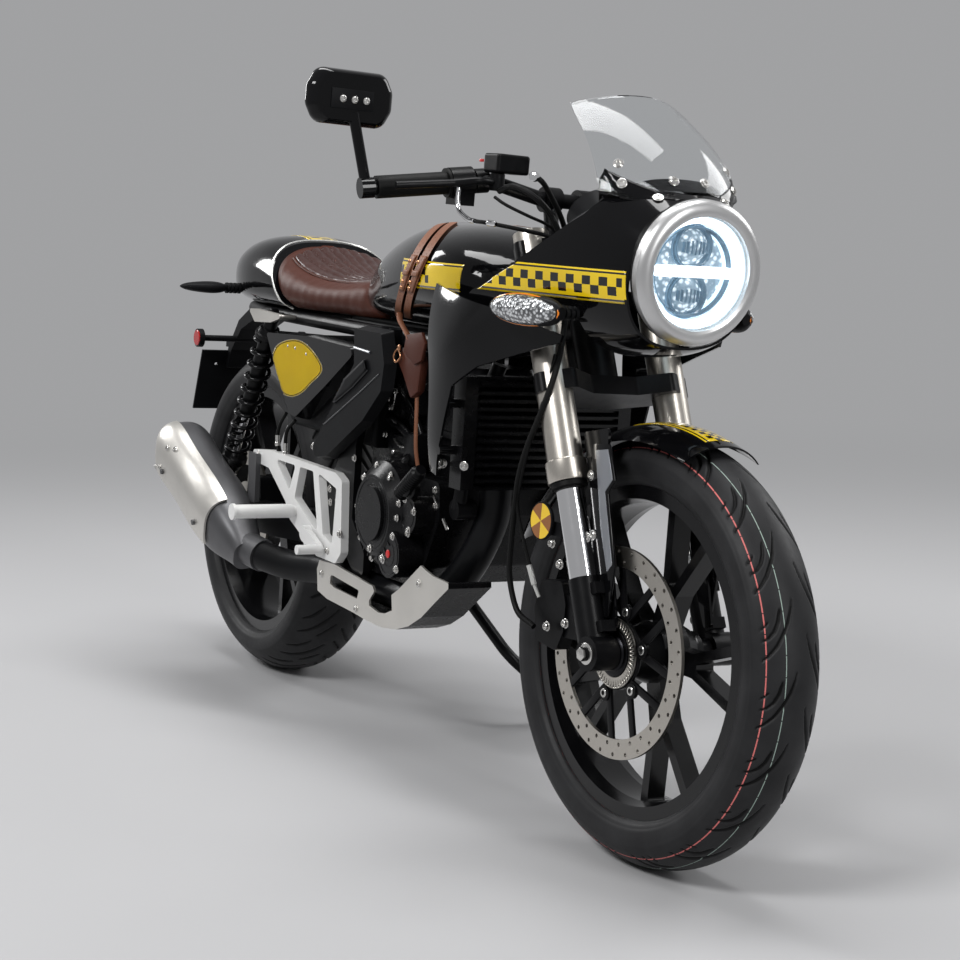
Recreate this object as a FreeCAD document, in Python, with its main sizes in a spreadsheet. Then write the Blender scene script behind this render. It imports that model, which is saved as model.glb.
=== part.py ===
import FreeCAD, Part
import math
import os

import Sketcher
from FreeCAD import Placement, Rotation, Vector

# Cafe racer motorcycle, millimetres.
# The bike is drawn upright: +X forwards, +Y to the rider's left, +Z up, with the rear tyre's
# contact point at zero. Every piece then leans to the left together, onto the side stand.

doc = FreeCAD.newDocument("cafe_racer")
sheet = doc.addObject("Spreadsheet::Sheet", "Sizes")

SIZES = {
    # stance
    "wheelbase": (1287, "rear contact to front contact"),
    "lean_angle": (4.5, "lean onto the side stand, degrees"),
    "origin_forward": (641.5, "row origin ahead of the rear contact"),
    "origin_left": (19.5, "row origin to the left of the rear contact"),
    # steering
    "rake_angle": (24.2, "steering axis from upright, degrees"),
    "rest_steer": (4, "bars turned to the left at rest, degrees"),
    "axle_offset": (38.6, "front axle ahead of the steering axis"),
    "fork_offset": (28.8, "fork legs ahead of the steering axis"),
    "fork_spread": (102, "centre plane to each fork leg"),
    "top_clamp_height": (590, "top clamp above the axle, along the fork"),
    "low_clamp_height": (392, "lower clamp above the axle, along the fork"),
    "clamp_thickness": (28, "both triple clamps"),
    "tube_radius": (26, "fork outer tube"),
    "tube_above": (30, "outer tube's end above the top clamp's middle"),
    "tube_bottom": (246, "lower end of the outer tube along the fork"),
    "stanchion_radius": (20.5, "fork inner tube"),
    "foot_top": (108, "top of the fork foot along the fork"),
    "stem_radius": (14, "steering stem"),
    "head_tube_radius": (29, "outside of the head tube"),
    # front wheel
    "front_tyre_radius": (303, "outside of the front tyre"),
    "front_tyre_width": (112, "front tyre section"),
    "front_crown": (62, "front tread radius"),
    "front_rim_half": (44, "half the front rim's width"),
    "rim_radius": (232, "rim flange, both wheels"),
    "front_axle_radius": (10, "front axle"),
    "front_axle_bore": (7, "bore right through the front axle"),
    "front_disc_radius": (147, "front brake disc"),
    "front_disc_side": (72, "front disc's plane from the centre"),
    "disc_thickness": (5, "both brake discs"),
    # rear wheel
    "rear_tyre_radius": (307, "outside of the rear tyre"),
    "rear_tyre_width": (150, "rear tyre section"),
    "rear_crown": (88, "rear tread radius"),
    "rear_rim_half": (58, "half the rear rim's width"),
    "rear_axle_radius": (10, "rear axle"),
    "rear_disc_radius": (110, "rear brake disc"),
    "rear_disc_side": (88, "rear disc's plane from the centre"),
    "chain_side": (88, "chain's plane from the centre"),
    "sprocket_teeth": (48, "teeth on the rear sprocket"),
    "chain_pitch": (15.875, "roller to roller"),
    # chassis
    "pivot_forward": (480, "swingarm pivot ahead of the rear axle"),
    "pivot_height": (345, "swingarm pivot above the ground"),
    "arm_side": (116, "swingarm tube from the centre"),
    "arm_width": (24, "swingarm tube across"),
    "arm_height": (58, "swingarm tube's height at the pivot"),
    "plate_side": (128, "inner face of each pivot plate"),
    "plate_thickness": (12, "pivot plates"),
    "bracket_thickness": (14, "rear-set brackets"),
    "spine_radius": (16, "frame spine tubes"),
    "rail_radius": (12.5, "seat rail tubes"),
    "shock_side": (121, "shock absorber from the centre"),
    "coil_radius": (24.5, "outside of the shock's spring"),
    "exhaust_radius": (26, "header pipe"),
    "bar_radius": (11, "handlebar tube"),
    "bar_bore": (8, "bore of the handlebar's open end"),
    "grip_radius": (16.5, "rubber grips"),
    "shell_wall": (3.5, "fairing and cover walls"),
    "ring_radius": (100, "headlight ring, outside"),
    "ring_window": (78, "headlight ring, inside"),
    "nose_forward": (292, "headlight ring ahead of the top clamp"),
    "nose_height": (6, "headlight centre above the top clamp"),
    "ring_pitch": (5.4, "headlight tipped down, degrees"),
    "stand_radius": (10, "side stand tube"),
    "running_gap": (0.3, "between curved faces that meet"),
}

for row, (alias, (number, note)) in enumerate(SIZES.items(), start=1):
    sheet.set(f"A{row}", alias)
    sheet.set(f"B{row}", str(number))
    sheet.setAlias(f"B{row}", alias)
    sheet.set(f"C{row}", note)
doc.recompute()


def size(alias):
    return float(sheet.get(alias))


LEFT = Vector(0, 1, 0)
RIGHT = Vector(0, -1, 0)
UP = Vector(0, 0, 1)
GAP = size("running_gap")
WALL = size("shell_wall")
LEAN = math.radians(size("lean_angle"))
RAKE = math.radians(size("rake_angle"))
FORK_UP = Vector(-math.sin(RAKE), 0, math.cos(RAKE))
FORK_AHEAD = Vector(math.cos(RAKE), 0, math.sin(RAKE))


def axle_height(tyre_radius, crown):
    """Height of an axle, square to the leaning bike, that puts the tread on the ground."""
    return tyre_radius - crown + crown / math.cos(LEAN)


REAR_AXLE = Vector(0, 0, axle_height(size("rear_tyre_radius"), size("rear_crown")))
FRONT_AXLE = Vector(size("wheelbase"), 0, axle_height(size("front_tyre_radius"), size("front_crown")))
PIVOT = Vector(size("pivot_forward"), 0, size("pivot_height"))
STEER_FOOT = FRONT_AXLE - FORK_AHEAD * size("axle_offset")


def on_fork(along, ahead=0.0, side=0.0):
    """A point beside the steering axis, measured up the fork from the axle's level."""
    return STEER_FOOT + FORK_UP * along + FORK_AHEAD * ahead + Vector(0, side, 0)


HEAD = on_fork(size("top_clamp_height"))
NOSE = HEAD + Vector(size("nose_forward"), 0, size("nose_height"))
PITCH = math.radians(size("ring_pitch"))
LAMP = Vector(math.cos(PITCH), 0, -math.sin(PITCH))
LAMP_SEAT = NOSE + Vector(16, 0, 0)
LAMP_DEPTH = 110
RING_BACK = 16

# Where each body stands: all lean, and the steered ones also turn about the steering axis.
ORIGIN = Placement(Vector(-size("origin_forward"), -size("origin_left"), 0), Rotation())
CHASSIS = ORIGIN.multiply(Placement(Vector(), Rotation(Vector(1, 0, 0), -size("lean_angle"))))
STEER = Placement(Vector(), Rotation(FORK_UP, size("rest_steer")), STEER_FOOT)
FORK = CHASSIS.multiply(STEER)

nodes = []


def settle(piece, frame=CHASSIS, local=None):
    """Lists a finished piece as a node and stands it in the leaning bike."""
    piece.Placement = frame.multiply(local or Placement())
    nodes.append(piece)
    return piece


def feature(label, shape, frame=CHASSIS):
    piece = doc.addObject("Part::Feature", label)
    piece.Label = label
    piece.Shape = shape
    return settle(piece, frame, shape.Placement)


# Helpers for shapes
def from_head(outline):
    """An outline seen from the side, given from the top of the steering head."""
    return [(HEAD.x + x, HEAD.z + z) for x, z in outline]


def bind(piece, **rules):
    for name, rule in rules.items():
        piece.setExpression(name, rule)
    return piece


def turned_to(direction):
    return Rotation(UP, direction)


def rod(start, end, radius):
    run = end - start
    return Part.makeCylinder(radius, run.Length, start, run)


def tube(start, end, radius, bore):
    run = end - start
    overshoot = Vector(run).normalize() * 2
    return rod(start, end, radius).cut(rod(start - overshoot, end + overshoot, bore))


def across(centre, radius, from_side, to_side):
    """A rod across the bike through a point seen from the side."""
    return rod(Vector(centre.x, from_side, centre.z), Vector(centre.x, to_side, centre.z), radius)


def rounded_path(points, radius, closed=False):
    """Straight runs and tangent arcs through a list of corners."""
    count = len(points)
    corners = range(count) if closed else range(1, count - 1)
    entries = [Vector(point) for point in points]
    exits = [Vector(point) for point in points]
    arcs = {}
    for index in corners:
        corner = points[index]
        back = points[index - 1] - corner
        ahead = points[(index + 1) % count] - corner
        reach = 0.45 * min(back.Length, ahead.Length)
        back.normalize()
        ahead.normalize()
        half = back.getAngle(ahead) / 2
        if half > math.radians(89):
            continue
        wish = radius if radius else reach * math.tan(half)
        tangent = min(wish / math.tan(half), reach)
        bend = tangent * math.tan(half)
        inward = (back + ahead).normalize()
        entries[index] = corner + back * tangent
        exits[index] = corner + ahead * tangent
        middle = corner + inward * (bend / math.sin(half) - bend)
        arcs[index] = Part.Arc(entries[index], middle, exits[index])
    pieces = []
    last = count if closed else count - 1
    for index in range(last):
        start = exits[index]
        end = entries[(index + 1) % count]
        if index in arcs:
            pieces.append(arcs[index])
        if (end - start).Length > 0.01:
            pieces.append(Part.LineSegment(start, end))
    return pieces


def wire_of(pieces):
    return Part.Wire([piece.toShape() for piece in pieces])


def pipe(points, radius, bend=None):
    path = wire_of(rounded_path(points, bend))
    ring = Part.Wire([Part.makeCircle(radius, points[0], points[1] - points[0])])
    swept = path.makePipeShell([ring], True, False)
    return Part.makeSolid(swept) if swept.ShapeType == "Shell" else swept


def side_wire(outline, side, radius=0.0):
    corners = [Vector(x, side, z) for x, z in outline]
    if radius:
        return wire_of(rounded_path(corners, radius, closed=True))
    return Part.makePolygon(corners + [corners[0]])


def prism(outline, from_side, to_side, radius=0.0):
    """A plate cut to an outline seen from the side, between two planes across the bike."""
    face = Part.Face(side_wire(outline, from_side, radius))
    return face.extrude(Vector(0, to_side - from_side, 0))


def shrunk(outline, factor):
    middle_x = sum(x for x, z in outline) / len(outline)
    middle_z = sum(z for x, z in outline) / len(outline)
    return [(middle_x + (x - middle_x) * factor, middle_z + (z - middle_z) * factor) for x, z in outline]


def block(low, high):
    span = high - low
    return Part.makeBox(span.x, span.y, span.z, low)


def mirrored(shape):
    return shape.mirror(Vector(), LEFT)


def both_sides(shape):
    return Part.makeCompound([shape, mirrored(shape)])


def oval(forward, half_width, low, high, widest, squareness=2.4, grow=0.0, count=16):
    """A closed section across the bike, widest at its own height, flatter above 2."""
    points = []
    for step in range(count):
        turn = 2 * math.pi * step / count
        across_part = math.copysign(abs(math.cos(turn)) ** (2 / squareness), math.cos(turn))
        up_part = math.copysign(abs(math.sin(turn)) ** (2 / squareness), math.sin(turn))
        reach = high - widest + grow if up_part > 0 else widest - low + grow
        points.append(Vector(forward, (half_width + grow) * across_part, widest + reach * up_part))
    curve = Part.BSplineCurve()
    curve.interpolate(Points=points, PeriodicFlag=True)
    return Part.Wire([curve.toShape()])


def hull(sections, squareness=2.4, grow=0.0, shift=Vector()):
    """A smooth closed body through sections given as forward, half width, low, high, widest."""
    rings = []
    for forward, half_width, low, high, widest in sections:
        ring = oval(forward, half_width, low, high, widest, squareness, grow)
        ring.translate(shift)
        rings.append(ring)
    return Part.makeLoft(rings, True, False)


# Parametric bodies
def new_body(label):
    body = doc.addObject("PartDesign::Body", label)
    body.Label = label
    return body


def new_sketch(body, name, role, offset=0.0):
    sketch = body.newObject("Sketcher::SketchObject", name)
    plane = next(item for item in body.Origin.OriginFeatures if item.Role == role)
    sketch.AttachmentSupport = [(plane, "")]
    sketch.MapMode = "FlatFace"
    sketch.AttachmentOffset = Placement(Vector(0, 0, offset), Rotation())
    return sketch


def origin_axis(body, role):
    return next(item for item in body.Origin.OriginFeatures if item.Role == role)


def draw(sketch, points, radius=0.0):
    corners = [Vector(first, second, 0) for first, second in points]
    if radius:
        pieces = rounded_path(corners, radius, closed=True)
    else:
        ends = corners[1:] + corners[:1]
        pieces = [Part.LineSegment(start, end) for start, end in zip(corners, ends)]
    for piece in pieces:
        sketch.addGeometry(piece, False)


def draw_circle(sketch, radius_rule, first=0.0, second=0.0):
    circle = Part.Circle(Vector(first, second, 0), Vector(0, 0, 1), 10)
    index = sketch.addGeometry(circle, False)
    sketch.addConstraint(Sketcher.Constraint("Radius", index, 10))
    sketch.setExpression(f"Constraints[{sketch.ConstraintCount - 1}]", radius_rule)
    return index


def pad(body, name, sketch, length_rule, midplane=True, reverse=False):
    item = body.newObject("PartDesign::Pad", name)
    item.Profile = sketch
    item.Midplane = midplane
    item.Reversed = reverse
    item.setExpression("Length", length_rule)
    return item


def pocket(body, name, sketch):
    item = body.newObject("PartDesign::Pocket", name)
    item.Profile = sketch
    item.Type = "ThroughAll"
    item.Midplane = True
    return item


def revolve(body, name, sketch):
    item = body.newObject("PartDesign::Revolution", name)
    item.Profile = sketch
    item.ReferenceAxis = (sketch, ["V_Axis"])
    item.Angle = 360
    return item


def around(body, name, item, count_rule, role="Y_Axis"):
    pattern = body.newObject("PartDesign::PolarPattern", name)
    pattern.Originals = [item]
    pattern.Axis = (origin_axis(body, role), [""])
    pattern.Angle = 360
    pattern.setExpression("Occurrences", count_rule)
    body.Tip = pattern
    return pattern


# Wheels
RIM_DEPTH = 15
RIM_WALL = 9
TYRE_GAP = 0.6


def tyre(label, rim_half):
    """A tyre seated on its rim: bead, sidewalls and a rounded tread."""
    body = new_body(label)
    end = label.split("_")[0]
    radius = size(f"{end}_tyre_radius")
    width = size(f"{end}_tyre_width")
    crown = size(f"{end}_crown")
    sketch = new_sketch(body, label + "_profile", "XY_Plane")
    bead = size("rim_radius") + TYRE_GAP
    seat = size("rim_radius") - RIM_DEPTH + TYRE_GAP
    shoulder_side = 0.46 * width
    shoulder = radius - crown + math.sqrt(crown**2 - shoulder_side**2)
    wall = (bead + shoulder) / 2 + 2
    lip = rim_half - 7 - TYRE_GAP
    heel = rim_half + 1

    def at(distance, side):
        return Vector(distance, side, 0)

    corners = [at(shoulder, shoulder_side), at(shoulder, -shoulder_side)]
    sketch.addGeometry(Part.Arc(corners[0], at(radius, 0), corners[1]), False)
    sketch.addGeometry(Part.Arc(corners[1], at(wall, -width / 2), at(bead, -heel)), False)
    toe = lip - 2
    inner = [at(bead, -heel), at(bead, -lip), at(seat, -toe), at(seat, toe), at(bead, lip), at(bead, heel)]
    for start, end in zip(inner, inner[1:]):
        sketch.addGeometry(Part.LineSegment(start, end), False)
    sketch.addGeometry(Part.Arc(at(bead, heel), at(wall, width / 2), corners[0]), False)
    revolve(body, label + "_revolve", sketch)
    return body


def rim(label, rim_half, hub_right, hub_left, bore, spoke_thickness, left_flange):
    """A cast wheel: drop-centre rim, hub and five forked spokes."""
    body = new_body(label)
    flange = size("rim_radius")
    seat = flange - RIM_DEPTH
    inside = seat - RIM_WALL
    barrel = new_sketch(body, label + "_barrel", "XY_Plane")
    edge = rim_half
    lip = rim_half - 7
    draw(
        barrel,
        [
            (flange, -edge), (flange, -lip), (seat, -lip + 2), (seat, lip - 2), (flange, lip),
            (flange, edge), (seat - 4, edge), (inside, edge - 20), (inside, -edge + 20), (seat - 4, -edge),
        ],
    )
    revolve(body, label + "_rim", barrel)
    hub = new_sketch(body, label + "_hub_profile", "XY_Plane")
    draw(
        hub,
        [
            (bore, -hub_right), (44, -hub_right), (44, -hub_right + 7), (32, -hub_right + 14), (44, -22),
            (44, 22), (32, hub_left - 14), (left_flange, hub_left - 7), (left_flange, hub_left),
            (bore, hub_left),
        ],
    )
    spokes = new_sketch(body, label + "_spoke", "XZ_Plane")
    root = [(inside - 2, -56), (inside + 4, -28), (inside + 4, 28), (inside - 2, 56)]
    draw(spokes, [(30, -15), (96, -17)] + root + [(96, 17), (30, 15)])
    draw(spokes, [(104, -5), (inside - 2, -40), (inside - 2, 40), (104, 5)], 4)
    spoke = pad(body, label + "_spoke_pad", spokes, f"{spoke_thickness} mm")
    around(body, label + "_spokes", spoke, "5")
    revolve(body, label + "_hub", hub)
    return body


def disc(label, radius_alias, band, arms, holes):
    """A drilled brake disc on a spider."""
    body = new_body(label)
    radius = size(radius_alias)
    inner = radius - band
    ring = new_sketch(body, label + "_ring", "XZ_Plane")
    draw_circle(ring, f"Sizes.{radius_alias}")
    draw_circle(ring, f"Sizes.{radius_alias} - {band}")
    pad(body, label + "_ring_pad", ring, "Sizes.disc_thickness")
    centre = new_sketch(body, label + "_spider", "XZ_Plane")
    draw_circle(centre, "52")
    draw_circle(centre, "34")
    pad(body, label + "_spider_pad", centre, "Sizes.disc_thickness")
    limb = new_sketch(body, label + "_arm", "XZ_Plane")
    draw(limb, [(48, -11), (inner + 4, 4), (inner + 4, 20), (48, 11)])
    limb_pad = pad(body, label + "_arm_pad", limb, "Sizes.disc_thickness")
    around(body, label + "_arms", limb_pad, str(arms))
    drilling = new_sketch(body, label + "_drilling", "XZ_Plane")
    for share, turn in ((0.25, -3), (0.6, 3)):
        reach = inner + band * share
        angle = math.radians(turn * 2)
        draw_circle(drilling, "3.5", reach * math.cos(angle), reach * math.sin(angle))
    cut = pocket(body, label + "_drilling_cut", drilling)
    around(body, label + "_drilled", cut, str(holes))
    return body


def sprocket():
    """The rear sprocket: as many teeth as the sheet says, on a lightened plate."""
    body = new_body("rear_sprocket")
    teeth = int(size("sprocket_teeth"))
    pitch_radius = size("chain_pitch") / (2 * math.sin(math.pi / teeth))
    blank = new_sketch(body, "sprocket_blank", "XZ_Plane")
    outside = pitch_radius + 5
    outline = []
    root = pitch_radius - 5.5
    for tooth in range(teeth):
        for share, reach in ((-0.32, root), (-0.1, outside), (0.1, outside), (0.32, root)):
            turn = 2 * math.pi * (tooth + 0.5 + share) / teeth
            outline.append((reach * math.cos(turn), reach * math.sin(turn)))
    draw(blank, outline)
    draw_circle(blank, "34")
    pad(body, "sprocket_pad", blank, "5.5 mm")
    windows = new_sketch(body, "sprocket_window", "XZ_Plane")
    draw(windows, [(58, -14), (98, -24), (98, 24), (58, 14)], 6)
    cut = pocket(body, "sprocket_window_cut", windows)
    around(body, "sprocket_windows", cut, "6")
    return body


FRONT_HUB = 58
FRONT_HUB_RIGHT = size("front_disc_side") - size("disc_thickness") / 2
REAR_HUB_RIGHT = size("rear_disc_side") - size("disc_thickness") / 2
REAR_HUB_LEFT = size("chain_side") - 2.75
AXLE_GAP = 0.4
front_half = size("front_rim_half")
rear_half = size("rear_rim_half")
front_bore = size("front_axle_radius") + AXLE_GAP
rear_bore = size("rear_axle_radius") + AXLE_GAP

front_wheel = Placement(FRONT_AXLE, Rotation())
settle(tyre("front_tyre", front_half), FORK, front_wheel)
settle(rim("front_rim", front_half, FRONT_HUB_RIGHT, FRONT_HUB, front_bore, 30, 27), FORK, front_wheel)
front_disc_place = Placement(FRONT_AXLE - Vector(0, size("front_disc_side"), 0), Rotation())
settle(disc("front_disc", "front_disc_radius", 30, 6, 12), FORK, front_disc_place)

rear_wheel = Placement(REAR_AXLE, Rotation())
settle(tyre("rear_tyre", rear_half), CHASSIS, rear_wheel)
settle(rim("rear_rim", rear_half, REAR_HUB_RIGHT, REAR_HUB_LEFT, rear_bore, 34, 44), CHASSIS, rear_wheel)
rear_disc_place = Placement(REAR_AXLE - Vector(0, size("rear_disc_side"), 0), Rotation())
settle(disc("rear_disc", "rear_disc_radius", 26, 5, 10), CHASSIS, rear_disc_place)
settle(sprocket(), CHASSIS, Placement(REAR_AXLE + Vector(0, size("chain_side"), 0), Rotation()))


# Fork
SPREAD = size("fork_spread")
OFFSET = size("fork_offset")
TUBE = size("tube_radius")


def fork_cylinder(name, radius_rule, length_rule, along, side):
    piece = doc.addObject("Part::Cylinder", name)
    bind(piece, Radius=radius_rule, Height=length_rule)
    piece.Placement = Placement(on_fork(along, OFFSET, side), turned_to(FORK_UP))
    return piece


def fork_pair(label, radius_rule, length_rule, along):
    pair = doc.addObject("Part::Compound", label)
    pair.Label = label
    legs = (("_left", SPREAD), ("_right", -SPREAD))
    pair.Links = [fork_cylinder(label + name, radius_rule, length_rule, along, side) for name, side in legs]
    return settle(pair, FORK)


def clamp(label, along, with_stem):
    """A triple clamp with its two fork bores."""
    body = new_body(label)
    outline = new_sketch(body, label + "_outline", "XY_Plane")
    side = SPREAD
    reach = TUBE + 9
    draw(
        outline,
        [
            (OFFSET + reach, side - 14), (OFFSET + 6, side + reach), (OFFSET - reach + 4, side + 12),
            (-34, 34), (-34, -34), (OFFSET - reach + 4, -side - 12), (OFFSET + 6, -side - reach),
            (OFFSET + reach, -side + 14), (OFFSET + 8, -40), (OFFSET + 8, 40),
        ],
        12,
    )
    pad(body, label + "_pad", outline, "Sizes.clamp_thickness")
    bores = new_sketch(body, label + "_bores", "XY_Plane")
    for leg in (side, -side):
        draw_circle(bores, "Sizes.tube_radius + Sizes.running_gap", OFFSET, leg)
    if not with_stem:
        draw_circle(bores, "Sizes.stem_radius + Sizes.running_gap")
    pocket(body, label + "_bore_cut", bores)
    if with_stem:
        stem = new_sketch(body, label + "_stem", "XY_Plane")
        draw_circle(stem, "Sizes.stem_radius")
        stem_length = "Sizes.top_clamp_height - Sizes.low_clamp_height + 24"
        pad(body, label + "_stem_pad", stem, stem_length, midplane=False)
    return settle(body, FORK, Placement(on_fork(along), turned_to(FORK_UP)))


clamp("lower_clamp", size("low_clamp_height"), True)
clamp("upper_clamp", size("top_clamp_height"), False)
fork_pair("fork_tubes", "Sizes.tube_radius", "Sizes.top_clamp_height + Sizes.tube_above - Sizes.tube_bottom", size("tube_bottom"))
fork_pair(
    "fork_stanchions",
    "Sizes.stanchion_radius",
    "Sizes.tube_bottom - Sizes.foot_top - Sizes.running_gap",
    size("foot_top"),
)

AXLE_AHEAD = size("axle_offset") - OFFSET
FOOT_INNER = SPREAD - 18
FOOT_OUTER = SPREAD + 22
STAY_IN = size("front_disc_side") + size("disc_thickness") / 2 + 6
STAY_OUT = STAY_IN + 4
STAY_AHEAD = 24
STAY_LUGS = (34, 88)


def fork_feet():
    """Both cast feet, joined by the hollow front axle."""
    feet = []
    for sign in (1, -1):
        side = sign * SPREAD
        leg = rod(on_fork(-8, OFFSET, side), on_fork(size("foot_top") - GAP, OFFSET, side), 22)
        lug = across(FRONT_AXLE, 24, sign * FOOT_INNER, sign * FOOT_OUTER)
        spacer_from = FRONT_HUB + 1 if sign > 0 else size("front_disc_side") + size("disc_thickness")
        spacer = across(FRONT_AXLE, 15, sign * spacer_from, sign * (FOOT_INNER + 1))
        feet.append(leg.fuse([lug, spacer] + stay_lugs(sign)))
    axle = across(FRONT_AXLE, size("front_axle_radius"), -FOOT_OUTER - 8, FOOT_OUTER + 8)
    mount = prism(caliper_lug(), -SPREAD + 4, -SPREAD + 14)
    solid = feet[0].fuse([feet[1], axle, mount])
    hole = across(FRONT_AXLE, size("front_axle_bore"), -FOOT_OUTER - 20, FOOT_OUTER + 20)
    return solid.cut(hole)


def stay_lugs(sign):
    """Two flat-faced lugs ahead of the leg, where the fender's stay is bolted."""
    lugs = []
    for along in STAY_LUGS:
        low = on_fork(along - 9, OFFSET + 10)
        tip = on_fork(along - 8, OFFSET + STAY_AHEAD + 9)
        high = on_fork(along + 9, OFFSET + 10)
        far = on_fork(along + 8, OFFSET + STAY_AHEAD + 9)
        outline = [(point.x, point.z) for point in (low, tip, far, high)]
        lugs.append(prism(outline, sign * (STAY_OUT + GAP), sign * (SPREAD + 6)))
    return lugs


def caliper_lug():
    centre = caliper_centre()
    top = on_fork(70, OFFSET)
    low = on_fork(14, OFFSET)
    return [(low.x, low.z), (top.x, top.z), (centre.x + 6, centre.z + 34), (centre.x + 6, centre.z - 30)]


def caliper_centre():
    reach = size("front_disc_radius") - 18
    turn = math.radians(166)
    return FRONT_AXLE + Vector(reach * math.cos(turn), 0, reach * math.sin(turn))


def front_caliper():
    """A caliper astride the disc, on the foot's lug."""
    centre = caliper_centre()
    plane = -size("front_disc_side")
    side_low = plane - 30
    side_high = plane + 26
    outline = [(-30, -44), (20, -50), (34, -20), (34, 20), (20, 50), (-30, 44), (-42, 0)]
    shape = prism([(centre.x + x, centre.z + z) for x, z in outline], side_low, side_high, 8)
    slot = Part.makeCylinder(size("front_disc_radius") + 8, 14, FRONT_AXLE + Vector(0, plane - 7, 0), LEFT)
    lug = prism(caliper_lug(), -SPREAD + 4 - GAP, -SPREAD + 14 + GAP)
    return shape.cut(slot).cut(lug)


feature("fork_feet", fork_feet(), FORK)
feature("front_caliper", front_caliper(), FORK)


def front_fender():
    """A blade fender over the wheel, with a flat stay down to each fork foot."""
    crown = size("front_tyre_radius") + 14
    skirt = crown - 24
    half = size("front_tyre_width") / 2 + 10
    thick = 3
    rear_end = math.radians(158)
    sweep = 87

    def turned(distance, side):
        return FRONT_AXLE + Vector(distance * math.cos(rear_end), side, distance * math.sin(rear_end))

    outer_arc = Part.Arc(turned(skirt, half), turned(crown + thick, 0), turned(skirt, -half))
    inner_arc = Part.Arc(turned(skirt, half - thick), turned(crown, 0), turned(skirt, -half + thick))
    edges = [
        outer_arc.toShape(),
        Part.makeLine(turned(skirt, -half), turned(skirt, -half + thick)),
        inner_arc.toShape(),
        Part.makeLine(turned(skirt, half - thick), turned(skirt, half)),
    ]
    face = Part.Face(Part.Wire(Part.__sortEdges__(edges)))
    shell = face.revolve(FRONT_AXLE, LEFT, sweep)
    stays = []
    for sign in (1, -1):
        outline = [
            on_fork(29, OFFSET + STAY_AHEAD - 8), on_fork(100, OFFSET + STAY_AHEAD - 10),
            on_fork(250, OFFSET + 26), on_fork(312, OFFSET + 30), on_fork(300, OFFSET + 88),
            on_fork(220, OFFSET + 60), on_fork(60, OFFSET + 38), on_fork(29, OFFSET + 34),
        ]
        stays.append(prism([(point.x, point.z) for point in outline], sign * STAY_IN, sign * STAY_OUT, 5))
        for ahead in (28, 48):
            bolt = on_fork(skirt + 3, OFFSET + ahead)
            stays.append(across(bolt, 7, sign * (half - 7), sign * (STAY_IN + 1)))
    return shell.fuse(stays)


feature("front_fender", front_fender(), FORK)

# Bars and controls
BAR_MIDDLE = HEAD + Vector(-50, 46, 92)
BAR_INNER = HEAD + Vector(-70, 130, 112)
BAR_OUTER = HEAD + Vector(-100, 304, 86)
BAR_ALONG = Vector(BAR_OUTER - BAR_INNER).normalize()
CLAMP_FACE = size("top_clamp_height") + size("clamp_thickness") / 2 + GAP


def on_bar(distance):
    return BAR_INNER + BAR_ALONG * distance


def handlebar():
    """One bent tube, open at both ends, with two risers to the top clamp."""
    left_half = [BAR_MIDDLE, BAR_INNER, BAR_OUTER]
    right_half = [Vector(point.x, -point.y, point.z) for point in reversed(left_half)]
    bar = pipe(right_half + left_half, size("bar_radius"), 40)
    bore = rod(BAR_OUTER - BAR_ALONG * 45, BAR_OUTER + BAR_ALONG * 5, size("bar_bore"))
    risers = []
    for side in (30, -30):
        head = Vector(BAR_MIDDLE.x, side, BAR_MIDDLE.z)
        risers.append(rod(on_fork(CLAMP_FACE, -22, side), on_fork(CLAMP_FACE + 18, -22, side), 14))
        risers.append(rod(on_fork(CLAMP_FACE + 8, -22, side), head, 11))
        risers.append(across(head, 19, side - 13, side + 13))
    return bar.fuse(risers).cut(bore).cut(mirrored(bore))


def grips():
    grip = tube(on_bar(66), on_bar(174), size("grip_radius"), size("bar_radius") + GAP)
    collar = tube(on_bar(62), on_bar(66.01), size("grip_radius") + 5, size("bar_radius") + GAP)
    return both_sides(grip.fuse(collar))


def controls():
    """Switch housing, lever perch and lever for each hand; the right one carries a reservoir."""
    housing = rod(on_bar(26), on_bar(61), 22)
    housing = housing.fuse(block(on_bar(26) + Vector(-20, 0, -36), on_bar(26) + Vector(14, 28, 0)))
    perch = rod(on_bar(2), on_bar(22), 18)
    post = on_bar(8) + Vector(46, 4, -2)
    perch = perch.fuse(rod(on_bar(10), post, 9))
    perch = perch.fuse(rod(post - Vector(0, 0, 12), post + Vector(0, 0, 12), 11))
    lever_points = [
        post, post + Vector(8, 34, 0), on_bar(80) + Vector(50, 0, 2), on_bar(168) + Vector(46, 0, 4),
    ]
    lever = pipe(lever_points, 5.5, 20)
    bore = rod(on_bar(-20), on_bar(90), size("bar_radius") + GAP)
    left = housing.fuse([perch, rod(on_bar(18), on_bar(30), 15), lever]).cut(bore)
    reservoir = block(post + Vector(-32, -50, 14), post + Vector(8, 6, 42))
    reservoir = reservoir.makeFillet(4, reservoir.Edges)
    neck = rod(post + Vector(-12, -8, 0), post + Vector(-12, -8, 20), 10)
    right = mirrored(left.fuse([reservoir, neck]).cut(bore))
    return Part.makeCompound([left, right])


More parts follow.
